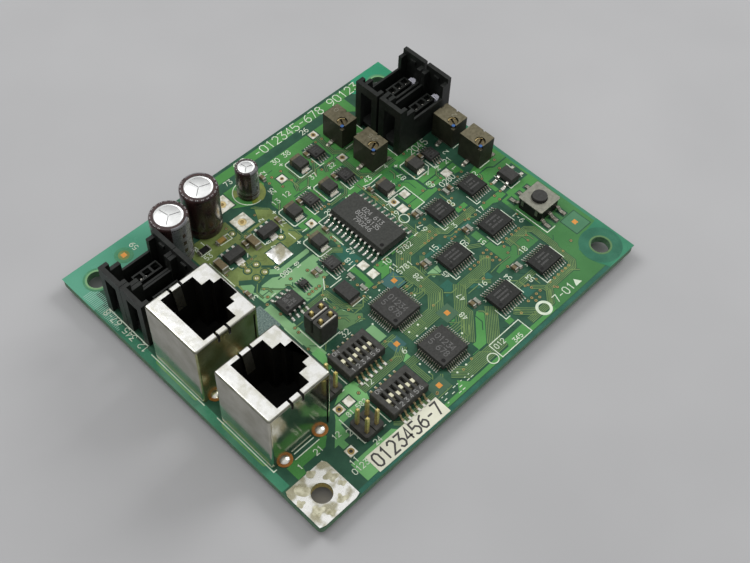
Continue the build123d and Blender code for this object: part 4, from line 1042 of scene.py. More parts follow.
# each area: finish and outline
MARGINS = [
    ("margin_pale", [(-45, 37.5), (-45, 27), (-42.4, 27), (-42.4, 29.9), (-20, 29.9), (-20, 37.5)]),
    ("margin_teal", [(-45, 27), (-45, -27.4), (-43.1, -27.4), (-43.1, 27)]),
    ("margin", [(36, 37.5), (33, 34.5), (37.5, 30), (45, 30), (45, 37.5)]),
    ("margin_teal", [(44.2, 30), (44.2, -37.5), (45, -37.5), (45, 30)]),
    ("teal_dark", [(-35, -36.6), (-35, -37.5), (37, -37.5), (37, -36.6)]),
]
POURS = [
    ("hatch", [(-25.6, 5.3), (-20.9, 5.3), (-20.9, -1), (-25.6, -1)]),
    ("column", [(-20.3, 4), (-19.1, 4), (-19.1, -4), (-20, -5.5), (-20.6, -7.4), (-21.2, -7.4),
        (-21.2, -2.2), (-20.3, -0.6)]),
    ("column", [(-12, -10.4), (-11.2, -6.8), (-9.9, -6.6), (-9.2, -8.6), (-7.7, -10.2), (-8.6, -11.4)]),
    ("teal_dark", [(18.9, -28.4), (21, -28.4), (23, -30), (22.6, -30.6), (18.9, -30.6)]),
    ("teal_dark", [(8.2, -16.3), (10.6, -16.3), (10.6, -18.6), (9, -19.2), (7.2, -19.2), (8.2, -17.4)]),
    ("teal_dark", [(16, -5.4), (19, -5.4), (19, -7), (17.6, -7.2), (16.6, -6.2)]),
    ("teal_dark", [(9.8, -9), (16, -9), (16, -9.8), (9.8, -9.8)]),
    ("teal_dark", [(18.2, -9), (25, -9), (25, -9.9), (18.2, -9.9)]),
    ("teal_dark", [(11.9, -20.6), (17.8, -20.6), (17.8, -22.3), (13.5, -22.3)]),
    ("teal_dark", [(-1, 5.2), (1.4, 5.2), (1.8, -0.6), (-0.6, -0.8), (-1.6, 1)]),
    ("pour", [(-20, 36.7), (-20, 34.45), (36, 34.45), (36, 36.7)]),
    ("pour", [(-9, 32.1), (-9, 27.9), (-5, 25.5), (-1.9, 25.2), (0.9, 28.2), (0.9, 32.1)]),
    ("pour", [(1.6, 32.1), (1.6, 26.2), (-1.8, 22.8), (-1.8, 12.5), (3, 12.5), (3, 15), (7, 15.6),
        (12, 12.5), (20, 12.5), (20, 32.1)]),
    ("pour", [(20, 32.1), (20, 12.5), (27.2, 12.5), (27.2, 32.1)]),
    ("pour_deep", [(16.5, 32.1), (17.5, 24), (18.8, 23), (18.8, 14.6), (27, 14.6), (27, 32.1)]),
    ("pour", [(30.8, 34.4), (27.4, 34.4), (27.4, 32), (30.8, 29)]),
    ("olive", [(-23, 26), (-23, 12), (-2.9, 12), (-2.9, 22.5), (-5, 25), (-7, 21), (-12, 21), (-12, 26)]),
    ("olive", [(-21, 12), (-21, 10), (-19, 9), (-3, 13), (-3, 15)]),
    ("pour_pale", [(-20, 8.6), (-16.6, 8.6), (-14.6, 8.6), (-13.4, 7.9), (-4.4, 7.2), (-4.4, 5),
        (-5, 4.7), (-13.6, 4.7), (-13.8, 5), (-19.8, 5)]),
    ("pour_pale", [(-20.5, 11.5), (-18.3, 11.5), (-18.3, 8.6), (-21, 8.6)]),
    ("pour_pale", [(-4.9, 8.1), (-4.3, 8.6), (-4.3, 9.2), (-12, 9.2), (-14, 10.9), (-15.3, 10.4),
        (-12.7, 8.1)]),
    ("pour_pale", [(-13.5, 5), (-13.5, -0.6), (-9.3, -0.6), (-7.2, 1.3), (-5.8, 1.3), (-5.8, 5)]),
    ("pour_pale", [(-21, -0.3), (-21, -12), (-19, -12), (-18.8, 4), (-21, 4)]),
    ("pour_mid", [(-11.6, -7.5), (-11.2, -4.2), (-10, -4.2), (-9.9, -7), (-9, -8.8), (-7.6, -10.2),
        (-8.5, -11.3), (-13.6, -10.2), (-13.5, -9)]),
    ("pour", [(-2.2, -0.9), (-0.7, -0.9), (-0.7, -4.3), (-1, -6.8), (-3.6, -6.8), (-3.6, -6.2),
        (-1.9, -5.4), (-1.9, -2)]),
    ("pour", [(1.9, -3.6), (6, -3.6), (6, -5), (4, -7), (1, -7), (1.9, -6)]),
    ("pour_mid", [(-2.9, 11.8), (2, 11.8), (2, 5.2), (0.7, 5.2), (0.7, 7.4), (-3.4, 7.4)]),
    ("pour", [(13.9, 12), (13.9, 1.5), (15, -4), (13.9, -4.2), (7, -4.2), (7, -3.6), (14.4, -3.4),
        (13.8, 0), (13, 12)]),
    ("pour_deep", [(19.8, 12.5), (19.8, 8), (22.6, 8), (23.8, 9.5), (23.8, 12.5)]),
    ("pour", [(22.2, 7.9), (23.4, 7.9), (24.9, 6.5), (24.9, 2.9), (25.7, 2.1), (26.7, 2.1), (26.7, 1.2),
        (22.2, 0.9), (18.8, 0.9), (18.8, 2.7), (22.2, 2.7), (22.2, 2.9), (19, 2.9), (19, 7.9)]),
    ("pour", [(25.5, 6.5), (31, 6.5), (34, 5.5), (35, 4.6), (25.5, 4.6)]),
    ("pour", [(25.5, 4.3), (34.5, 4.3), (34.5, 0.8), (33.4, 1.6), (28.5, 2.3), (27.1, 2.3), (25.5, 2.8)]),
    ("pour_deep", [(24.4, 14), (34, 14), (34, 11), (26, 11), (25.2, 8), (24.2, 8.8)]),
    ("pour", [(35.1, -0.3), (44.2, 2.2), (44.2, -2.7), (40.2, -2.7), (39, -1.8), (35.1, -1.8)]),
    ("pour", [(35.1, -2.1), (38.9, -2.1), (40, -3), (44.2, -3), (44.2, -12), (34, -12), (34, -10.4),
        (36.2, -10.2), (36.5, -8.7), (44, -8.7), (35.1, -7.8)]),
    ("pour", [(29.8, -8.1), (36, -8.1), (36.2, -9.8), (33.2, -10), (32.3, -9.5), (29.5, -9.5)]),
    ("pour", [(25, -6.2), (28, -6.2), (28, -5), (25, -5)]),
    ("pour_right", [(34, -12), (44.2, -12), (44.2, -36.5), (21, -36.5), (21, -34.6), (24, -32.5),
        (31.9, -32.5), (33, -31.3), (33, -26.8), (33.9, -25.8), (33.9, -20)]),
    ("pour_right", [(22.4, -12), (24.1, -12), (24.1, -17.7), (25.3, -18.3), (26, -19.8), (31.7, -19.8),
        (31.7, -22.7), (24.6, -22.7), (19.2, -22.7), (19.2, -21.9), (22.4, -21)]),
    ("pour_light", [(0.9, -30.3), (0.9, -32), (5.7, -32), (10.1, -27.5), (10.25, -26.6), (9, -25.6),
        (7.75, -26.4), (4.5, -29.6), (3.6, -30.3)]),
    ("pour", [(3, -23.7), (6, -23.7), (6, -24.8), (3, -24.8)]),
    ("pour_light", [(-11.3, -36.4), (-11.3, -35.5), (-7, -35.5), (-5.5, -33.6), (-4, -35.5),
        (4.5, -35.5), (21, -35.5), (21, -36.4)]),
    ("pour_light", [(7.4, -33.9), (13.4, -33.9), (13.4, -36.2), (7.4, -36.2)]),
    ("pour", [(11.1, -18.4), (13.8, -18.4), (13.2, -19.3), (11.6, -19.3)]),
    ("pour", [(11.3, -31), (12.8, -31), (12.8, -32.3), (11.3, -32.3)]),
    ("pour_lit", [(-9.8, -22.5), (-8, -22.5), (-8, -23.8), (-9.8, -23.8)]),
    ("pour_pale", [(-10, -13.4), (-8, -13.4), (-8, -17.3), (-10, -17.3)]),
    ("pour_pale", [(8.7, -12.4), (11.7, -12.4), (11.2, -14.1), (9, -14.1)]),
    ("pour", [(-41.2, -24.6), (-41.2, -27.7), (-39.3, -27.7), (-38.8, -26.3), (-33.2, -26.3),
        (-31.5, -24.9), (-31.5, -24.3), (-39.2, -24.3)]),
    ("pour", [(-38.9, -20.2), (-32.8, -20.2), (-31, -22.0), (-38.9, -22.0)]),
    ("pour_lit", [(-31.2, -29), (-31.2, -27.7), (-32.2, -27.7), (-28, -23.6), (-26.5, -21.5),
        (-24, -20.2), (-21.7, -19.7), (-19.7, -20), (-19.3, -22.5), (-20.3, -24.8), (-28, -25),
        (-28.3, -27.7), (-29.8, -27.7), (-29.8, -29)]),
    ("pour_lit", [(-32.4, -36.5), (-32.4, -32.1), (-21.9, -32.1), (-21, -33.2), (-29, -33.2),
        (-29, -36.5)]),
    ("pour_lit", [(-21.3, -10), (-19.5, -10), (-19.5, -12), (-20.6, -15), (-21.3, -15)]),
]
# bare channels: path and width
GAPS = [
    ([(-2.45, 23.2), (-2.45, 12.6)], 0.9), ([(1.2, 29.5), (1.2, 26.4), (-2.4, 22.9)], 0.75),
    ([(7.9, 29.4), (7.9, 24.6), (5, 23.3), (4.6, 22)], 0.3), ([(5, 23.4), (12.6, 23.4), (14, 24.6)], 0.22),
    ([(3, 21), (7.4, 21), (7.4, 15.5)], 0.25), ([(7.4, 15.2), (12, 15.2)], 1.1),
    ([(12.2, 23.8), (13.6, 22.5)], 0.9), ([(-4.2, 12), (-4.2, 6.2)], 0.7),
    ([(-14, 7.4), (-4.5, 7.4)], 0.25), ([(-20.3, 12.2), (-18, 10.4), (-18, 9), (-19.4, 8)], 1.2),
    ([(-14.3, 12.2), (-12, 10), (-11, 9.5), (-6, 9.5), (-5.8, 12)], 0.6), ([(22.3, 2.8), (25, 2.8)], 0.18),
    ([(25.2, 6.7), (25.2, 4.4), (29, 4.4)], 0.22), ([(19.4, 8.3), (24, 8.3), (25.2, 7)], 0.2),
    ([(35, -7.85), (29, -7.85), (28, -6.3)], 0.25),
    ([(32, -9.6), (33, -10.2), (36.2, -10.2), (36.5, -8.8)], 0.25),
    ([(37.5, -1.95), (39, -1.95), (40, -2.8), (44, -2.8)], 0.22),
    ([(24.5, 11.5), (24.5, 8.8), (25.4, 7.6)], 0.4),
]


def build_pours():
    """Copper areas under the mask, and the bare channels between them."""
    form = Form()
    for paint, outline in MARGINS:
        plate(form, outline, "margin", paint)
    for paint, outline in POURS:
        plate(form, outline, "pour", paint)
    for path, width in GAPS:
        line(form, path, width, "gap", "laminate")
    margin_bars(form)
    margin_hatch(form)
    for (x, y), r in zip(HOLES, (2.9, 2.9, 4.6)):
        plate(form, circle(x, y, r, 48), "track", "ring_teal" if y < 0 else "fade")
        form.ring((x, y), PLATING_R, PLATING_R + 0.4, TOP, TOP + LAYER["ink"],
                  "pour_pale" if y > 0 else "pour_mid", 48)
    plate(form, [(45, -27.5), (41, -28), (35.8, -30), (35.8, -34.5), (37, -37.5), (45, -37.5)],
          "gap", "margin_low")
    piece("copper_pours", form)


def margin_bars(form):
    """Two round-ended copper bars in the left margin, each a stack of three shades."""
    x, sides = -43.3, 24
    for y0, y1 in ((-2.0, 8.9), (-21.0, -10.1)):
        for r, layer, paint in ((0.78, "margin", "margin_teal"), (0.62, "pour", "lime"),
                                (0.3, "gap", "margin")):
            bar = [(x + r * math.cos(t), (y0 if t > math.pi else y1) + r * math.sin(t))
                   for t in (2 * math.pi * (i + 0.5) / sides for i in range(sides))]
            plate(form, bar, layer, paint)


def margin_hatch(form):
    """Fine pale lines across the left margin, shorter towards the lower end."""
    y, full, short_below = 31.0, -41.4, 25.5
    while y > 20.0:
        right = full if y > short_below else full - 0.5 * (short_below - y)
        line(form, [(-44.6, y), (right, y)], 0.15, "pour", "hatch_white")
        y -= 0.42


# bundles of tracks: path, count and pitch
BUSES = [
    ([(18.5, -5.6), (8.8, -5.6), (6.4, -8), (6.4, -16.8), (3.2, -20), (-5.2, -20)], 9, 0.36),
    ([(28.3, -7.6), (19.5, -7.6), (18, -6.3)], 5, 0.36),
    ([(26.2, -18.9), (31.9, -18.9), (33, -20), (33, -25.7), (32.5, -26.6), (32.5, -30.9), (31.5, -31.9),
        (24, -31.9), (21.4, -34.5), (15, -34.5)], 5, 0.33),
    ([(11.4, -18.8), (7.2, -23), (7.2, -24.6), (2.4, -29.4)], 8, 0.34),
    ([(12, -26.8), (6.2, -32.6), (6.2, -33.8), (-2.8, -33.8), (-5, -31.6)], 8, 0.34),
    ([(11.4, -19.5), (18.4, -19.5), (20.6, -17.6)], 7, 0.34), ([(13.4, -19.6), (16.6, -22.8)], 3, 0.4),
    ([(19.3, -27.2), (24.8, -27.2)], 4, 0.38),
    ([(21.4, -29.4), (23.2, -31.2), (23.2, -32.4), (20.8, -34.8)], 3, 0.4),
    ([(14.4, -30.6), (15.4, -31.8), (17.6, -34)], 5, 0.4),
    ([(-9.5, -1.2), (-9.1, -6.3), (-6.6, -9)], 4, 0.36),
    ([(-15.5, -1.6), (-10.5, -1.6), (-9.4, -2.6)], 3, 0.36),
    ([(-20, -22.4), (-10, -22.4), (-7.5, -21)], 6, 0.34),
    ([(-20.8, -31.6), (-19.8, -32.6), (-11, -32.6)], 3, 0.34),
    ([(-6.6, -30.6), (-7.3, -31.3), (-7.3, -33.6), (-11, -33.6)], 2, 0.4),
    ([(-10.2, -18.4), (-6.8, -18.4)], 4, 0.36), ([(-9.9, -24.8), (-7.4, -24.8)], 5, 0.36),
    ([(-9.3, -25.4), (-9.3, -30)], 4, 0.36), ([(11.2, -8.6), (8.4, -11.4), (8.4, -12.2)], 3, 0.4),
    ([(14.6, -5), (14.6, 1), (15.3, 3), (15.3, 11)], 3, 0.42),
    ([(-4.2, 5.4), (-1.2, 5.4), (0.5, 3.7)], 4, 0.34),
    ([(18.3, 30), (17.8, 24.4), (19.4, 22.9), (26, 22.9)], 3, 0.4),
    ([(17.6, 21.6), (17.4, 15.6), (19.2, 13.9), (26, 13.9)], 3, 0.4),
    ([(4.7, 21.6), (5.5, 23.3), (10.8, 23.3), (13.1, 25.6)], 2, 0.36),
    ([(7, 14), (11.4, 14), (12.6, 15.2), (12.8, 17)], 2, 0.36),
    ([(12.9, 21.2), (13.6, 22.6), (16.5, 22.6)], 2, 0.4),
    ([(18.2, -21.3), (20.5, -21.1), (24.2, -21.3)], 1, 0.3), ([(25.5, -8.7), (26.4, -7.6)], 3, 0.4),
    ([(21.8, -9.2), (19.2, -9.2), (18.3, -8.4)], 1, 0.3), ([(2.3, -11.4), (4.6, -11.4)], 5, 0.5),
    ([(2.4, -14.6), (4.2, -14.6), (5, -13.8)], 5, 0.5),
    ([(2.4, -25.4), (4.4, -25.4), (5.6, -24.2)], 4, 0.5),
    ([(2.4, -27.6), (3.6, -27.6), (5, -26.2)], 4, 0.5), ([(-4.6, -8.8), (-4.6, -7.8)], 4, 0.5),
    ([(-2.2, -19), (-2.2, -20.6)], 8, 0.5), ([(19.5, -13.6), (22, -15.2)], 3, 0.4),
    ([(21, -13), (21, -11.5)], 2, 0.4), ([(27.2, 6.8), (30.4, 9.8)], 1, 0.3),
    ([(-12.4, 20.4), (-10.4, 20.4)], 2, 0.4),
]
VIAS = [
    (25.8, -17.8), (27.1, -17.8), (28.7, -17.8), (30.1, -17.8), (31.0, -17.8), (15.8, -17.8), (17.1, -17.8),
    (18.3, -17.8), (25.1, -31.2), (26.5, -31.2), (27.75, -31.2), (29, -31.2), (30, -31.2), (31.1, -31.2),
    (18.3, -31.2), (19.4, -31.2), (20.8, -31.2), (22, -31.2), (20.8, -16.9), (21.9, -16.9), (20.7, -18.2),
    (21.8, -18.2), (20.8, -19.5), (21.9, -19.5), (21.9, -20.5), (16, -21.3), (21.8, -22.7), (21.3, -28.6),
    (21.3, -29.5), (19.5, -32.2), (20.7, -32.2), (15.1, -32.1), (25.2, -18.8), (36.4, -27.5), (25.2, -33.1),
    (3.2, 28.3), (5.8, 28.3), (3.2, 24.8), (5.8, 24.8), (1.7, 27.4), (9.5, 24.0), (12.6, 25.6),
    (12.5, 22.5), (14.8, 22.6), (7.4, 17.6), (3.8, 14.6), (4.9, 14.6), (5.8, 14.6), (6.9, 14.5),
    (-13, 24.5), (-13.2, 22.3), (-11.4, 20.2), (-1.9, 11.5), (1.1, 7.7), (1.1, 6.6), (0.7, 5), (-12.1, 5.8),
    (-8.2, 5.0), (-12, 0.5), (-11.1, 0.5), (-10.1, 0.5), (-9.2, 0.5), (-7, 1.4), (-1.8, 1.1), (0.6, -0.3),
    (2.9, -3.9), (5, -3.9), (8.7, -3.8), (-3.5, -4.6), (-9, -7.7), (-4.5, -7.5), (-1.3, -7.5), (0, -7.3),
    (-8.7, -10.4), (3.4, -11.8), (9, -9.4), (11.9, -8.5), (10, -6.6), (14, -6.8), (15, -6.9), (16, -6.9),
    (17.2, -6.9), (16.9, -5.4), (17.1, -2.4), (18.5, -2.4), (18.9, 2.3), (17.1, 0.8), (15.4, 12.4),
    (15.3, 9), (15.2, 8.3), (15, 6.2), (15, 3.6), (21.4, 7.7), (25.4, 7.2), (27.5, 6.2), (26.7, 1),
    (33.9, 1.1), (32.2, 6.2), (26.9, -2.5), (26.4, -5.4), (26.5, -6.5), (30.9, -8.1), (34, -8.4),
    (35.9, -8.4), (34.1, -9.8), (36, -5.7), (41.7, -1.6), (18.2, -8.6), (20.8, -9.3), (21.8, -9.3),
    (25.3, -8.8), (27.2, -9), (-20.9, 9.9), (-19.7, 4.4), (-18.4, 5.7), (-19.3, 0.9), (-19.7, -4.7),
    (-21, -8.8), (-21, -13.9), (-20.9, -22.5), (18.9, -9.9), (28.6, 13.4), (17.1, 14.9), (17.0, 29.2),
    (18.7, 29), (40.7, -4), (24, 3.2),
]
# copper squares: place, cleared area round it and its finish
FIDUCIALS = [
    ((-32.4, 33.7), (-34.6, -30.4, 32.2, 35.4), "fade"),
    ((-8.8, -32.0), (-11, -7, -33.6, -30.5), "bare_grey"),
    ((-7.9, -19.9), (-9.4, -6.5, -21.3, -18.5), "bare_blue"),
    ((4.5, -21.8), (2.8, 6.2, -23.5, -20.2), "bare_grey"),
    ((2.6, -9.0), (0.3, 4.1, -11, -7.2), "bare_blue"),
    ((40.9, -24.9), (38.8, 43.1, -27.2, -22.8), "bare_green"),
]
# bare solder lands: place, size and hole
LANDS = [
    (-9.46, 29.95, 3.9, 1.15), (-9.46, 23.5, 3.9, 1.15), (-9.46, 12.05, 4.05, 0), (4.5, 26.5, 1.9, 0.4),
    (18.1, 31.1, 1.9, 0.5), (18.1, 21.9, 1.9, 0.5), (0.67, 13.2, 1.9, 0.35), (0.75, -2.0, 2.0, 0),
    (0.75, -4.85, 2.0, 0), (17.2, 5.25, 1.9, 0.5), (20.5, 5.3, 1.9, 0), (17.3, 2.75, 2.0, 0),
    (31.3, 3.1, 2.0, 0), (-26.0, -22.5, 1.9, 0.6), (-23.5, -22.5, 1.9, 0), (-30.5, -30.2, 1.9, 0.6),
]
BUMPS = [(-17, 13.3), (-14.7, 13.3), (-16.9, 10.7), (-14.7, 10.7), (-16.7, 15.1), (-6.3, 15.0), (-13.0, 22.6)]


# how far the bare laminate reaches past a part, in x and y
CLEARED = {
    "tantalum_capacitors": (0.4, 0.75), "msop_8": (0.35, 0.4), "tssop_20": (0.2, 0.45), "qfp_48": (0.5, 0.5),
    "tssop_16": (0.2, 0.45), "tssop_14": (0.2, 0.45), "soic_24": (0.9, 0.2), "regulators": (0.3, 0.5),
    "bridge_rectifier": (0.5, 0.2), "mini_6": (0.2, 0.3), "soic_8": (0.2, 0.5), "oscillator": (0.4, 0.6),
}


def build_clearances():
    """Bare laminate round the footprints of the larger parts."""
    form = Form()
    for node, (dx, dy) in CLEARED.items():
        for low, high in islands(node):
            plate(form, rectangle(low.x - dx, high.x + dx, low.y - dy, high.y + dy), "gap", "laminate")
    low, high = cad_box("tact_base")
    for i in (-1, 0, 1):
        x = middle((low, high))[0] + TACT_PITCH * i
        for y0, y1 in ((low.y - 0.2, low.y + 2), (high.y - 2, high.y + 0.3)):
            plate(form, rectangle(x - 0.85, x + 0.85, y0, y1), "gap", "laminate")
    piece("bare_clearances", form)


VIA_R, VIA_BORE, VIA_GAP, VIA_RISE = 0.3, 0.15, 0.13, 0.055


def via(form, x, y, r=VIA_R):
    """A plated hole: dark clearance, gilt ring, and a near-black disc in the middle as painted shade inside
    the bore.
    """
    plate(form, circle(x, y, r + VIA_GAP, 12), "gap", "laminate")
    form.ring((x, y), VIA_BORE, r, TOP, TOP + VIA_RISE, "via_gilt", 12)
    # Painted shade: a near-black disc stands for the dark inside of the bore.
    plate(form, circle(x, y, 0.19, 8), "track", "hole")


def tails(node):
    """Where a node's leads come through the board."""
    groups = []
    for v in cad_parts[node].data.vertices:
        x, y, z = v.co / MM
        if z < BOTTOM - 0.1:
            home = next((g for g in groups if math.dist(g[0], (x, y)) < 0.9), None)
            if home is None:
                groups.append([(x, y)])
            else:
                home.append((x, y))
    return [tuple(np.mean(group, 0)) for group in groups]


UNDER_BUSES = [
    ([(-20, 6), (-6, 6), (2, -2), (2, -14), (10, -22), (30, -22)], 6, 0.5),
    ([(-18, 26), (4, 26), (14, 16), (34, 16)], 5, 0.5),
    ([(-18, -12), (-4, -12), (6, -2), (30, -2)], 7, 0.5),
    ([(-30, -31), (-12, -31), (-6, -25), (12, -25)], 4, 0.5),
    ([(20, 8), (20, -10), (28, -18), (28, -31)], 5, 0.5), ([(-14, 20), (-14, 12), (-8, 6)], 3, 0.5),
]


# nodes with leads through the board, and the radius of their joints
THROUGH = {
    "jack_1_shield": 1.3, "jack_2_shield": 1.3, "jack_contacts": 0.55, "connector_contacts": 0.8,
    "header_pins": 0.8, "large_capacitors": 0.9, "small_capacitor": 0.7, "trimmers": 0.8,
}


def build_underside():
    """Solder side: one copper area, bundles of tracks, plated holes and a joint on every lead."""
    form, joints = Form(), Form()
    plate(form, rectangle(-44.1, 44.1, -36.6, 36.6), "pour", "pour", True)
    for path, count, pitch in UNDER_BUSES:
        bus(form, path, count, pitch, 0.2, True)
    for x, y in VIAS:
        plate(form, circle(x, y, VIA_R + VIA_GAP, 12), "gap", "laminate", True)
        form.ring((x, y), VIA_BORE, VIA_R, BOTTOM - VIA_RISE, BOTTOM, "via_gilt", 12)
    for node, r in THROUGH.items():
        for place in tails(node):
            plate(form, circle(*place, r + 0.25, 20), "gap", "laminate", True)
            cone = ((0, -0.02), (r, -0.02), (r, 0.08), (0.8 * r, 0.2), (0.5 * r, 0.55), (0.3 * r, 0.85),
                    (0, 0.9))
            joints.lathe([(radius, BOTTOM - drop) for radius, drop in cone], place, "solder", 16)
    tinned_corner(joints, BOTTOM - 0.08, BOTTOM)
    piece("solder_side", form)
    piece("solder_side_joints", joints, smooth=True)


def blocked(x, y, boxes, margin):
    """Whether a point lies on or near a part."""
    return any(a - margin < x < b + margin and c - margin < y < d + margin for a, b, c, d in boxes)


def footprints():
    """Ground plan of every part that stands on the board."""
    boxes = []
    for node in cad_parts:
        if node in ("circuit_board", "jack_contacts", "connector_contacts", "header_pins"):
            continue
        for low, high in islands(node):
            boxes.append((low.x, high.x, low.y, high.y))
    return boxes


def near_land(x, y, margin):
    """Whether a point lies on or near a solder land."""
    return any(abs(x - a) < size / 2 + margin and abs(y - b) < size / 2 + margin for a, b, size, _ in LANDS)


def build_tracks(boxes):
    """Bundles of tracks, plated holes and loose short tracks where there is room."""
    form = Form()
    for path, count, pitch in BUSES:
        bus(form, path, count, pitch)
    for x, y in VIAS:
        via(form, x, y)
    for _ in range(520):
        x, y = random.uniform(-21, 43), random.uniform(-33, 31)
        if blocked(x, y, boxes, 0.5) or near_land(x, y, 0.5):
            continue
        if any(math.dist((x, y), hole) < 7.5 for hole in HOLES):
            continue
        step = random.uniform(0.8, 2.6)
        turn = random.choice((0, 0, math.pi / 2, math.pi / 4, -math.pi / 4))
        mid = (x + step * math.cos(turn), y + step * math.sin(turn))
        bend = turn + random.choice((-1, 0, 1)) * math.pi / 4
        end = (mid[0] + step * math.cos(bend), mid[1] + step * math.sin(bend))
        if blocked(*mid, boxes, 0.25) or blocked(*end, boxes, 0.25) or max(mid[0], end[0]) > 43.8:
            continue
        path = [(x, y), mid, end]
        kind = random.random()
        if kind < 0.55:
            wide = random.choice((0.17, 0.2, 0.25))
            line(form, path, wide + 0.3, "gap", "laminate")
            line(form, path, wide, "track", "track")
        elif kind < 0.8:
            line(form, path, random.choice((0.14, 0.2)), "gap", "laminate")
        if random.random() < 0.3:
            via(form, x, y, 0.27)
    piece("tracks", form)


JACK_PITCH = 19.05
JACKS = ((-35.85, 3.15), (-35.85, 3.15 - JACK_PITCH))
JACK_LEG_X, JACK_LEG_Y = 4.4, 7.03           # from a jack's middle to its legs
TINNED = (-44.85, -35.13, -37.42, -27.83)    # tinned corner: x from and to, y from and to
# blotches on it: turn about the hole in degrees, distance and size
BLOTCHES = ((20, 3.6, 1.3), (75, 4.2, 1.0), (130, 3.5, 1.5), (165, 4.3, 0.9),
            (215, 3.5, 1.3), (250, 4.0, 0.9), (300, 3.7, 1.1), (345, 4.1, 0.8))


def raised(profile):
    """A (radius, height) profile set on the board."""
    return [(r, TOP + z) for r, z in profile]


def tinned_corner(form, z0, z1):
    """The tinned square round the last mounting hole."""
    frame_with_hole(form, rectangle(*TINNED), circle(*HOLES[3], PLATING_R, 40), z0, z1, "tinned")


def fiducials(form):
    """Copper squares in cleared areas."""
    for (x, y), (x0, x1, y0, y1), paint in FIDUCIALS:
        if paint == "fade":
            plate(form, circle(x, y, 2.0, 36), "gap", paint)
            plate(form, circle(x, y, 1.2, 30), "track", "olive")
        else:
            plate(form, rectangle(x0 - 0.18, x1 + 0.18, y0 - 0.18, y1 + 0.18), "gap", "laminate")
            plate(form, rectangle(x0, x1, y0, y1), "track", paint)
        form.prism(square(x, y, 0.55), TOP, TOP + 0.06, "copper", 0.03)


def solder_lands(form):
    """Bare lands, some with a filled hole, and some with an open hole drawn as a gilt ring round a near-black
    disc of painted shade.
    """
    for x, y, size, hole in LANDS:
        half = size / 2
        plate(form, square(x, y, half + 0.25), "gap", "laminate")
        if size > 4:
            pool(form, x, y, half, "tinned")
        else:
            form.prism(square(x, y, half), TOP, TOP + 0.09, "solder_flat", 0.06)
        if hole > 1:
            form.lathe(raised([(0, 0), (0.85 * hole, 0.08), (0.8 * hole, 0.13), (0.55 * hole, 0.15),
                               (0.3 * hole, 0.11), (0, 0.1)]), (x, y), "brass", 20)
            form.lathe(raised([(0, 0), (0.5, 0.1), (0.4, 0.16), (0, 0.18)]), (x, y), "via_gilt", 14)
        elif hole:
            form.ring((x, y), hole * 0.6, hole * 1.15, TOP, TOP + 0.1, "via_gilt", 20)
            # Painted shade: a near-black disc stands for the dark inside of the open hole.
            form.prism(circle(x, y, hole * 0.65, 16), TOP, TOP + 0.094, "hole")


def build_lands():
    """Fiducials, bare lands, solder bumps, the tinned corner and the joints of the jacks' legs."""
    form = Form()
    fiducials(form)
    solder_lands(form)
    for x, y in BUMPS:
        plate(form, circle(x, y, 1.0, 18), "gap", "laminate")
        form.ring((x, y), 0.4, 0.72, TOP, TOP + 0.07, "olive_pad", 20)
        form.lathe(raised([(0, 0), (0.48, 0), (0.42, 0.1), (0.25, 0.18), (0, 0.22)]), (x, y), "dross", 18)
    tinned_corner(form, TOP, TOP + 0.08)
    x, y = HOLES[3]
    for degrees, reach, r in BLOTCHES:
        turn = math.radians(degrees)
        blob(form, x + reach * math.cos(turn), y + reach * math.sin(turn), r, "dross", 0.1)
    piece("lands", form, smooth=True)
    joints = Form()
    for cx, cy in JACKS:
        for sx in (-1, 1):
            for sy in (-1, 1):
                at = (cx + sx * JACK_LEG_X, cy + sy * JACK_LEG_Y)
                joints.ring(at, 0.9, 1.62, TOP, TOP + 0.09, "burnt", 28)
                joints.lathe(raised([(0, 0), (1.12, 0), (1.0, 0.12), (0.7, 0.35), (0.3, 0.5), (0, 0.52)]),
                             at, "solder", 24)
    piece("jack_joints", joints, smooth=True)


def pool(form, x, y, half, paint, cells=9):
    """A square of solder that froze in wrinkles, flat at its rim."""
    n = cells + 1
    grid = []
    for j in range(n):
        for i in range(n):
            rim = i in (0, cells) or j in (0, cells)
            shift = 0 if rim else random.uniform(-0.12, 0.12)
            grid.append((x + half * (2 * i / cells - 1) + shift, y + half * (2 * j / cells - 1) + shift,
                         TOP + (0.05 if rim else random.uniform(0.08, 0.26))))
    points = grid + [(px, py, TOP - SINK) for px, py, _ in grid]
    faces = []
    for j in range(cells):
        for i in range(cells):
            a, b, c, d = j * n + i, j * n + i + 1, (j + 1) * n + i + 1, (j + 1) * n + i
            faces += [[a, b, c], [a, c, d], [n * n + d, n * n + c, n * n + b, n * n + a]]
    walk = list(range(cells)) + [j * n + cells for j in range(cells)]
    walk += [cells * n + cells - i for i in range(cells)] + [(cells - j) * n for j in range(cells)]
    for a, b in zip(walk, walk[1:] + walk[:1]):
        faces.append([b, a, n * n + a, n * n + b])
    form.add(points, faces, paint)


def frame_with_hole(form, outer, inner, z0, z1, paint):
    """A flat square plate with a round hole, built as a loop of quads."""
    cx = sum(p[0] for p in outer) / 4
    cy = sum(p[1] for p in outer) / 4
    n = len(inner)
    hx, hy = abs(outer[0][0] - cx), abs(outer[0][1] - cy)
    rim = []
    for px, py in inner:
        dx, dy = px - cx, py - cy
        t = min(hx / max(abs(dx), 1e-6), hy / max(abs(dy), 1e-6))
        rim.append((cx + dx * t, cy + dy * t))
    loops = ((inner, z0), (rim, z0), (rim, z1), (inner, z1))
    points = [(*p, z) for loop, z in loops for p in loop]
    faces = []
    for k in range(4):
        for i in range(n):
            j = (i + 1) % n
            a, b = k * n, ((k + 1) % 4) * n
            faces.append([a + i, a + j, b + j, b + i])
    form.add(points, faces, paint)


def silk(form, path, width=0.2):
    """A printed legend line."""
    line(form, path, width, "ink", "ink")


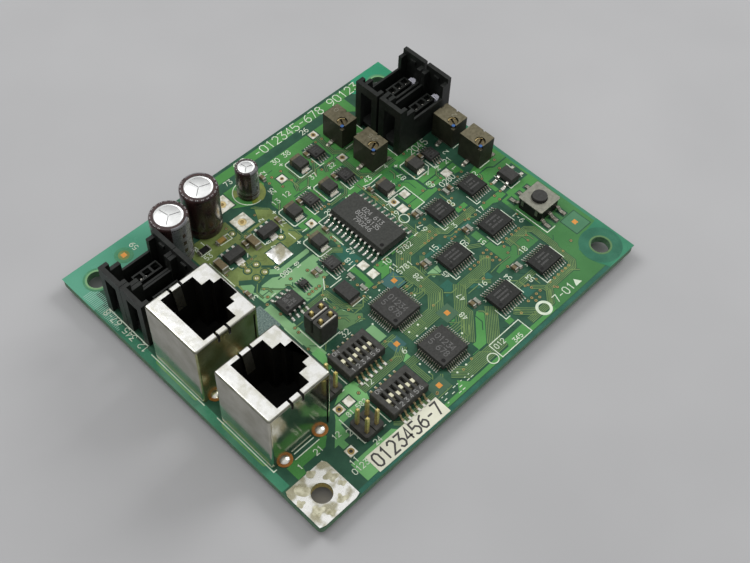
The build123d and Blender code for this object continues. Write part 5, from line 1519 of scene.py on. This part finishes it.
# plain numbers: text, place, size and turn in degrees
LEGENDS = [
    ("98 -012345-678 90123", -0.6, 34.5, 2.2, 0), ("12 345 67-8", -42.75, 12.6, 1.4, 90),
    ("59", -28.9, 33.3, 1.2, 90), ("1", -39.6, -26.6, 1.1, 0), ("21", -35.5, -26.5, 1.2, 0),
    ("12", -31, -26.6, 1.1, 0), ("11", -32.3, -32.6, 1.15, 0), ("0123", -33.2, -34.2, 1.15, 0),
    ("24", -26.2, -32.6, 1.1, 0), ("12", -18.9, -22.9, 1.2, 0), ("30 38", 5.9, 30.5, 1.25, 0),
    ("73", -5.5, 33, 1.2, 0), ("13 12", -1.7, 22.0, 1.2, 0), ("37", 9.0, 21.8, 1.2, 0),
    ("26", 16.4, 32.7, 1.3, 0), ("29", 4.5, 12.4, 1.1, 0), ("19", 10.4, 12.2, 1.1, 0),
    ("32", 14, 21.3, 1.1, 0), ("43", 16.8, 13.1, 1.2, 0), ("4", 22.8, 13.0, 1.2, 0),
    ("2045", 29.6, 11.9, 1.7, 0), ("47 8", -8.6, 13.2, 0.9, 90), ("5", -12.6, 9.2, 1.0, 0),
    ("080", -13, 7.0, 1.1, 0), ("18", -8.2, 6.6, 1.0, 90), ("42", 2.1, 1.5, 1.2, 90),
    ("18", 0, -0.2, 1.2, 90), ("10", 4, -5.3, 1.2, 0), ("11", 4, -7.2, 1.2, 0), ("5782", 8.2, -5.3, 1.2, 0),
    ("5781", 4.6, -8.8, 1.2, 0), ("28", 7.2, -12.6, 1.2, 90), ("15", 13.3, -9.7, 1.3, 0),
    ("45", 11.7, -16.0, 1.0, 90), ("51", 23.4, -15.5, 1.1, 90), ("50", 20.4, -13.3, 1.1, 90),
    ("3", 21.5, -8.5, 1.2, 0), ("17", 28, -9.5, 1.2, 0), ("2", 35.2, -1.9, 1.2, 0),
    ("65", 26.2, -4.2, 1.3, 90), ("67", 17.2, -4.6, 1.3, 90), ("17", 14.4, 4.6, 1.2, 0),
    ("19", 14.2, 2.2, 1.2, 0), ("2", 30.5, 4.8, 1.3, 0), ("0280", 27.8, 0.9, 1.3, 0),
    ("68", 27, 2.4, 1.2, 90), ("87", 24.1, 8.2, 1.2, 90), ("44", 21.1, 8.4, 1.1, 90),
    ("21", 33.2, 4.9, 1.2, 0), ("2", 36.2, 7.0, 1.2, 90), ("1", 34.2, 2.6, 1.2, 90),
    ("48", 6.8, -25.4, 1.1, 90), ("47", 9.8, -22.0, 1.1, 90), ("54", 20.3, -25.3, 1.1, 90),
    ("53", 23.4, -28.6, 1.1, 90), ("16", 13.9, -22.7, 1.2, 0), ("18", 26.5, -22.7, 1.2, 0),
    ("6", -8.4, -22.6, 1.2, 0), ("9-1", 33.8, -17.2, 1.2, 90), ("7-01", 22.3, -35.7, 1.75, 0),
    ("012", 5.3, -34.4, 1.1, 0), ("345", 9, -35.9, 1.0, 0), ("32", -14.3, -11.8, 1.3, 0),
    ("60", -10.9, -15.5, 1.1, 90), ("25", 1.2, 24.6, 1.1, 90), ("12", 3.1, 29.3, 1.1, 90),
    ("72", -2.9, 16.7, 1.2, 90), ("2", -5.8, 20.8, 1.0, 90), ("8 1", -21.3, 24.2, 1.1, 0),
    ("53", -21.2, 20.9, 1.1, 0), ("3", -19.7, 7, 1.2, 90), ("1", -16.6, 4.9, 1.1, 90),
    ("11", -2.6, -3.2, 1.2, 90), ("12", -2.6, -7.4, 1.2, 90), ("3", -10.3, -3, 1.1, 90),
    ("1", 15, -4.3, 1.2, 90), ("1", -28, -30.3, 1.3, 0), ("2", -28.4, -27.9, 1.3, 0),
    ("81 582", -25.8, -25, 1.0, 0),
]
OUTLINES = [
    [(-43.35, 11.2), (-43.35, -4.4)], [(-43.35, -7.95), (-43.35, -23.5), (-42.6, -23.5)],
    [(-42.6, 25.3), (-42.6, 13.1)], [(27.2, 17), (27.2, 14), (38, 14)], [(27.2, 27), (27.2, 24.8)],
    [(37.1, -22.7), (34.5, -22.7), (34.5, -14.1)],
    [(4.7, -32.7), (13.4, -32.7), (13.4, -36.3), (4.7, -36.3), (4.7, -32.7)],
    [(17, 6.8), (21.9, 6.8), (21.9, 0.8), (18, 0.8)], [(-21.35, 12.2), (-21.35, 20)],
    [(-19.2, -4.5), (-19.2, -10.2), (-13.8, -10.2)], [(-21.1, -15.3), (-21.1, -19.6)],
    [(-21.1, -24.2), (-21.1, -30.9), (-20.7, -30.9)], [(-24, -20.1), (-22.3, -20.1)],
    [(-27.5, -24), (-27.5, -30.8), (-22, -30.8)], [(-38.9, -22.1), (-33.0, -22.1)],
    [(-38.9, -24.4), (-32.9, -24.4)], [(-38.3, -22.9), (-33.4, -22.9)], [(-38.3, -23.4), (-33.4, -23.4)],
    [(4.5, -3.6), (12.3, -3.6), (12.3, -3.0)], [(1.9, 12.4), (6, 12.4)], [(1.9, 12.4), (1.9, 10.8)],
    [(1.55, 7.8), (1.55, 4.5)], [(-9.1, -0.9), (-7.3, 1.3)], [(-2.6, -0.8), (-0.2, -0.7)],
    [(28.0, 5.5), (29.9, 7.1), (29.9, 8.2)], [(20.5, 23.2), (22.6, 23.2)], [(20.5, 14.2), (23, 14.2)],
    [(37.6, 6.95), (39.4, 6.95)], [(37.5, -1.0), (40.8, -1.0)], [(38.2, -4.6), (38.2, -9.5), (41.2, -9.5)],
    [(42.7, -4.1), (42.7, -6)], [(42.4, -7), (42.4, -9)], [(-4.5, 12.5), (-4.5, 14.7)],
    [(-2.2, 12.9), (-0.8, 12.9)],
    [(-13.7, 21.7), (-13.7, 23.3), (-16.6, 23.3), (-16.6, 21.9), (-13.7, 21.7)],
    [(-18.7, 24.0), (-21.4, 24.0)], [(-18.7, 22.4), (-21.4, 22.4)], [(-7.9, -1.3), (-4.7, -1.3)],
    [(-7.9, -7.7), (-4.7, -7.7)], [(15.5, 12.9), (17, 12.4), (20.9, 12.6)],
]


# printed dots, then printed rings: place, inner and outer radius, sides
DOTS = [
    (2.96, -14.4), (-4.2, -19.7), (-1.7, -19.7), (-3.7, -21.4), (-1.2, -21.4), (3.06, -27.1), (-8, -26.2),
    (-8, -28.7), (-4.2, -32.5), (-1.7, -32.5), (-8, -13.4), (-3.8, -8.6), (-1.3, -8.6),
]
RINGS = [((3.1, -35.2), 1.05, 1.25, 28), ((19.3, -34.5), 1.15, 1.75, 32), ((15.6, 0.7), 1.0, 1.22, 28)]


def ink_ring(form, at, r0, r1, sides):
    """A printed ring."""
    form.ring(at, r0, r1, TOP - SINK, TOP + LAYER["ink"], "ink", sides)


def part_outlines(form):
    """Printed corners and brackets beside the chips, tantalum capacitors and regulators."""
    for node in ("tssop_20", "tssop_16", "tssop_14", "msop_8"):
        for low, high in islands(node):
            x0, y0 = low.x - 0.35, low.y - 0.75
            silk(form, [(x0, y0 + 3.0), (x0, y0), (x0 + 1.2, y0)])
            if node == "tssop_20":
                x1, y1 = high.x + 0.6, high.y - 1.6
                silk(form, [(x1, low.y + 1.0), (x1, y1), (high.x - 0.1, y1)], 0.18)
            silk(form, [(x0 + 0.1, high.y - 1.7), (x0 + 0.6, high.y - 1.4), (x0 + 0.1, high.y - 1.1)], 0.16)
    for low, high in islands("tantalum_capacitors"):
        x0, x1, y0, y1 = low.x - 0.85, high.x - 0.3, low.y - 0.95, high.y + 0.6
        silk(form, [(x1, y0), (x0 + 0.25, y0), (x0, y0 + 0.3), (x0, y1 - 0.4), (x0 + 0.4, y1),
                    (x1 - 0.6, y1)], 0.24)
        digits(form, "+", x0 - 0.9, y1 - 0.1, 1.3, TOP - SINK, level("ink"), "ink", 0.2)
    for low, high in islands("regulators"):
        x0, y0 = low.x - 0.35, low.y - 0.1
        silk(form, [(low.x + 0.3, y0), (x0, y0), (x0, high.y - 0.6), (low.x, high.y - 0.2)])
        silk(form, [(high.x - 0.4, y0), (high.x + 0.3, low.y + 0.7)])


def build_silk():
    """Printed outlines, plain numbers, dots and rings."""
    form = Form()
    for text, x, y, size, turn in LEGENDS:
        stroke = 0.15 if size < 1.5 else 0.19
        digits(form, text, x, y, size, TOP - SINK, level("ink"), "ink", stroke, math.radians(turn), 0.86)
    for path in OUTLINES:
        silk(form, path)
    part_outlines(form)
    for x, y in DOTS:
        plate(form, circle(x, y, 0.22, 10), "ink", "ink")
    for ring in RINGS:
        ink_ring(form, *ring)
    plate(form, [(28.1, -35.6), (30, -35.6), (29.05, -34.1)], "ink", "ink")
    ink_ring(form, middle(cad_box("small_capacitor")), 3.3, 3.5, 48)
    for k in range(22):
        x, y = -10.5 + (k % 8) * 1.05, -34.2 - (k // 8) * 0.8
        if random.random() < 0.7:
            silk(form, [(x, y), (x + random.choice((0.4, 0.7)), y)], 0.16)
    piece("legend_print", form)


def build_stains():
    """Flux round the small capacitor, and a stain by the regulators."""
    form = Form()
    centre = middle(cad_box("small_capacitor"))
    for start, end, reach in ((-115, 35, 0.1), (-80, 5, 0.45), (125, 165, 0.0)):
        arc_plate(form, centre, 2.2, 3.25 + reach, math.radians(start), math.radians(end), TOP - SINK,
                  TOP + 0.068 + 0.006 * reach, "flux", 16)
    blob(form, -12.6, 13.9, 1.2, "olive")
    piece("flux_residue", form)


def blob(form, x, y, r, paint, height=0.07):
    """An uneven low patch."""
    lobes = [random.uniform(0.0, 0.22) for _ in range(3)]
    outline = []
    for i in range(24):
        t = 2 * math.pi * i / 24
        reach = r * (0.85 + sum(lobe * math.cos((k + 2) * t + 9 * lobe) for k, lobe in enumerate(lobes)))
        outline.append((x + reach * math.cos(t), y + reach * math.sin(t)))
    form.prism(outline, TOP - SINK, TOP + height, paint, 0.04)


# ------------------------------------------------------------------ stage
FLOOR_HALF = 2.5                    # metres
SKY = 0.82                          # strength of the sky
# name, place in metres, width in metres and power of each light
LIGHTS = (("key", (-0.16, 0.5, 0.62), 0.45, 3.0), ("side", (0.68, -0.12, 0.53), 0.45, 4.2))
SENSOR, LENS = 36, 54.87            # width and focal length of the camera
EYE = (-99.263, -96.975, 187.530)   # millimetres from the middle of the component side
LOOK = (0.42912, 0.39260, -0.81346)
UP = (0.56611, 0.58486, 0.58091)


def build_floor():
    """Pale grey floor."""
    mesh = bpy.data.meshes.new("floor")
    size = FLOOR_HALF
    corners = [(-size, -size, 0), (size, -size, 0), (size, size, 0), (-size, size, 0)]
    mesh.from_pydata(corners, [], [(0, 1, 2, 3)])
    paint = surface("floor_mat", (0.345, 0.345, 0.35), (0.375, 0.375, 0.38), 0.02, 0.7, specular=0.2)
    mesh.materials.append(paint)
    floor = bpy.data.objects.new("floor", mesh)
    bpy.context.scene.collection.objects.link(floor)


def build_lights():
    """A soft sky, brightest overhead, and two soft discs."""
    world = bpy.data.worlds.new("studio")
    bpy.context.scene.world = world
    world.use_nodes = True
    nodes, links = world.node_tree.nodes, world.node_tree.links
    coords = nodes.new("ShaderNodeTexCoord")
    split = nodes.new("ShaderNodeSeparateXYZ")
    links.new(coords.outputs["Generated"], split.inputs["Vector"])
    sky = ramp(nodes, links, split.outputs["Z"], (0.15, 0.15, 0.155), (1.0, 1.0, 1.0), 0.26, 0.8)
    links.new(sky, nodes["Background"].inputs["Color"])
    nodes["Background"].inputs["Strength"].default_value = SKY
    for name, place, size, power in LIGHTS:
        light = bpy.data.lights.new(name, "AREA")
        light.shape, light.size, light.energy = "DISK", size, power
        lamp = bpy.data.objects.new(name, light)
        lamp.location = place
        lamp.rotation_euler = (-Vector(place)).to_track_quat("-Z", "Y").to_euler()
        bpy.context.scene.collection.objects.link(lamp)


def build_camera():
    """The camera, from above the tinned corner."""
    view = bpy.data.cameras.new("view")
    view.sensor_width = SENSOR
    view.lens = LENS
    view.clip_start = 0.01
    camera = bpy.data.objects.new("view", view)
    look = Vector(LOOK).normalized()
    up = Vector(UP).normalized()
    right = look.cross(up).normalized()
    up = right.cross(look)
    turn = Matrix((right, up, -look)).transposed().to_4x4()
    turn.translation = Vector((EYE[0], EYE[1], EYE[2] + TOP)) * MM
    camera.matrix_world = turn
    bpy.context.scene.collection.objects.link(camera)
    bpy.context.scene.camera = camera
    bpy.context.scene.view_settings.view_transform = "Standard"


def main():
    """Builds the board from the laminate up."""
    boxes = footprints()
    build_board()
    build_pours()
    build_clearances()
    build_tracks(boxes)
    build_lands()
    build_underside()
    build_silk()
    build_stains()
    build_chips()
    build_power_parts()
    build_small_parts()
    build_jacks()
    build_connectors()
    build_capacitors()
    build_trimmers()
    build_switches()
    build_button()
    build_headers()
    build_label()
    build_floor()
    build_lights()
    build_camera()


main()
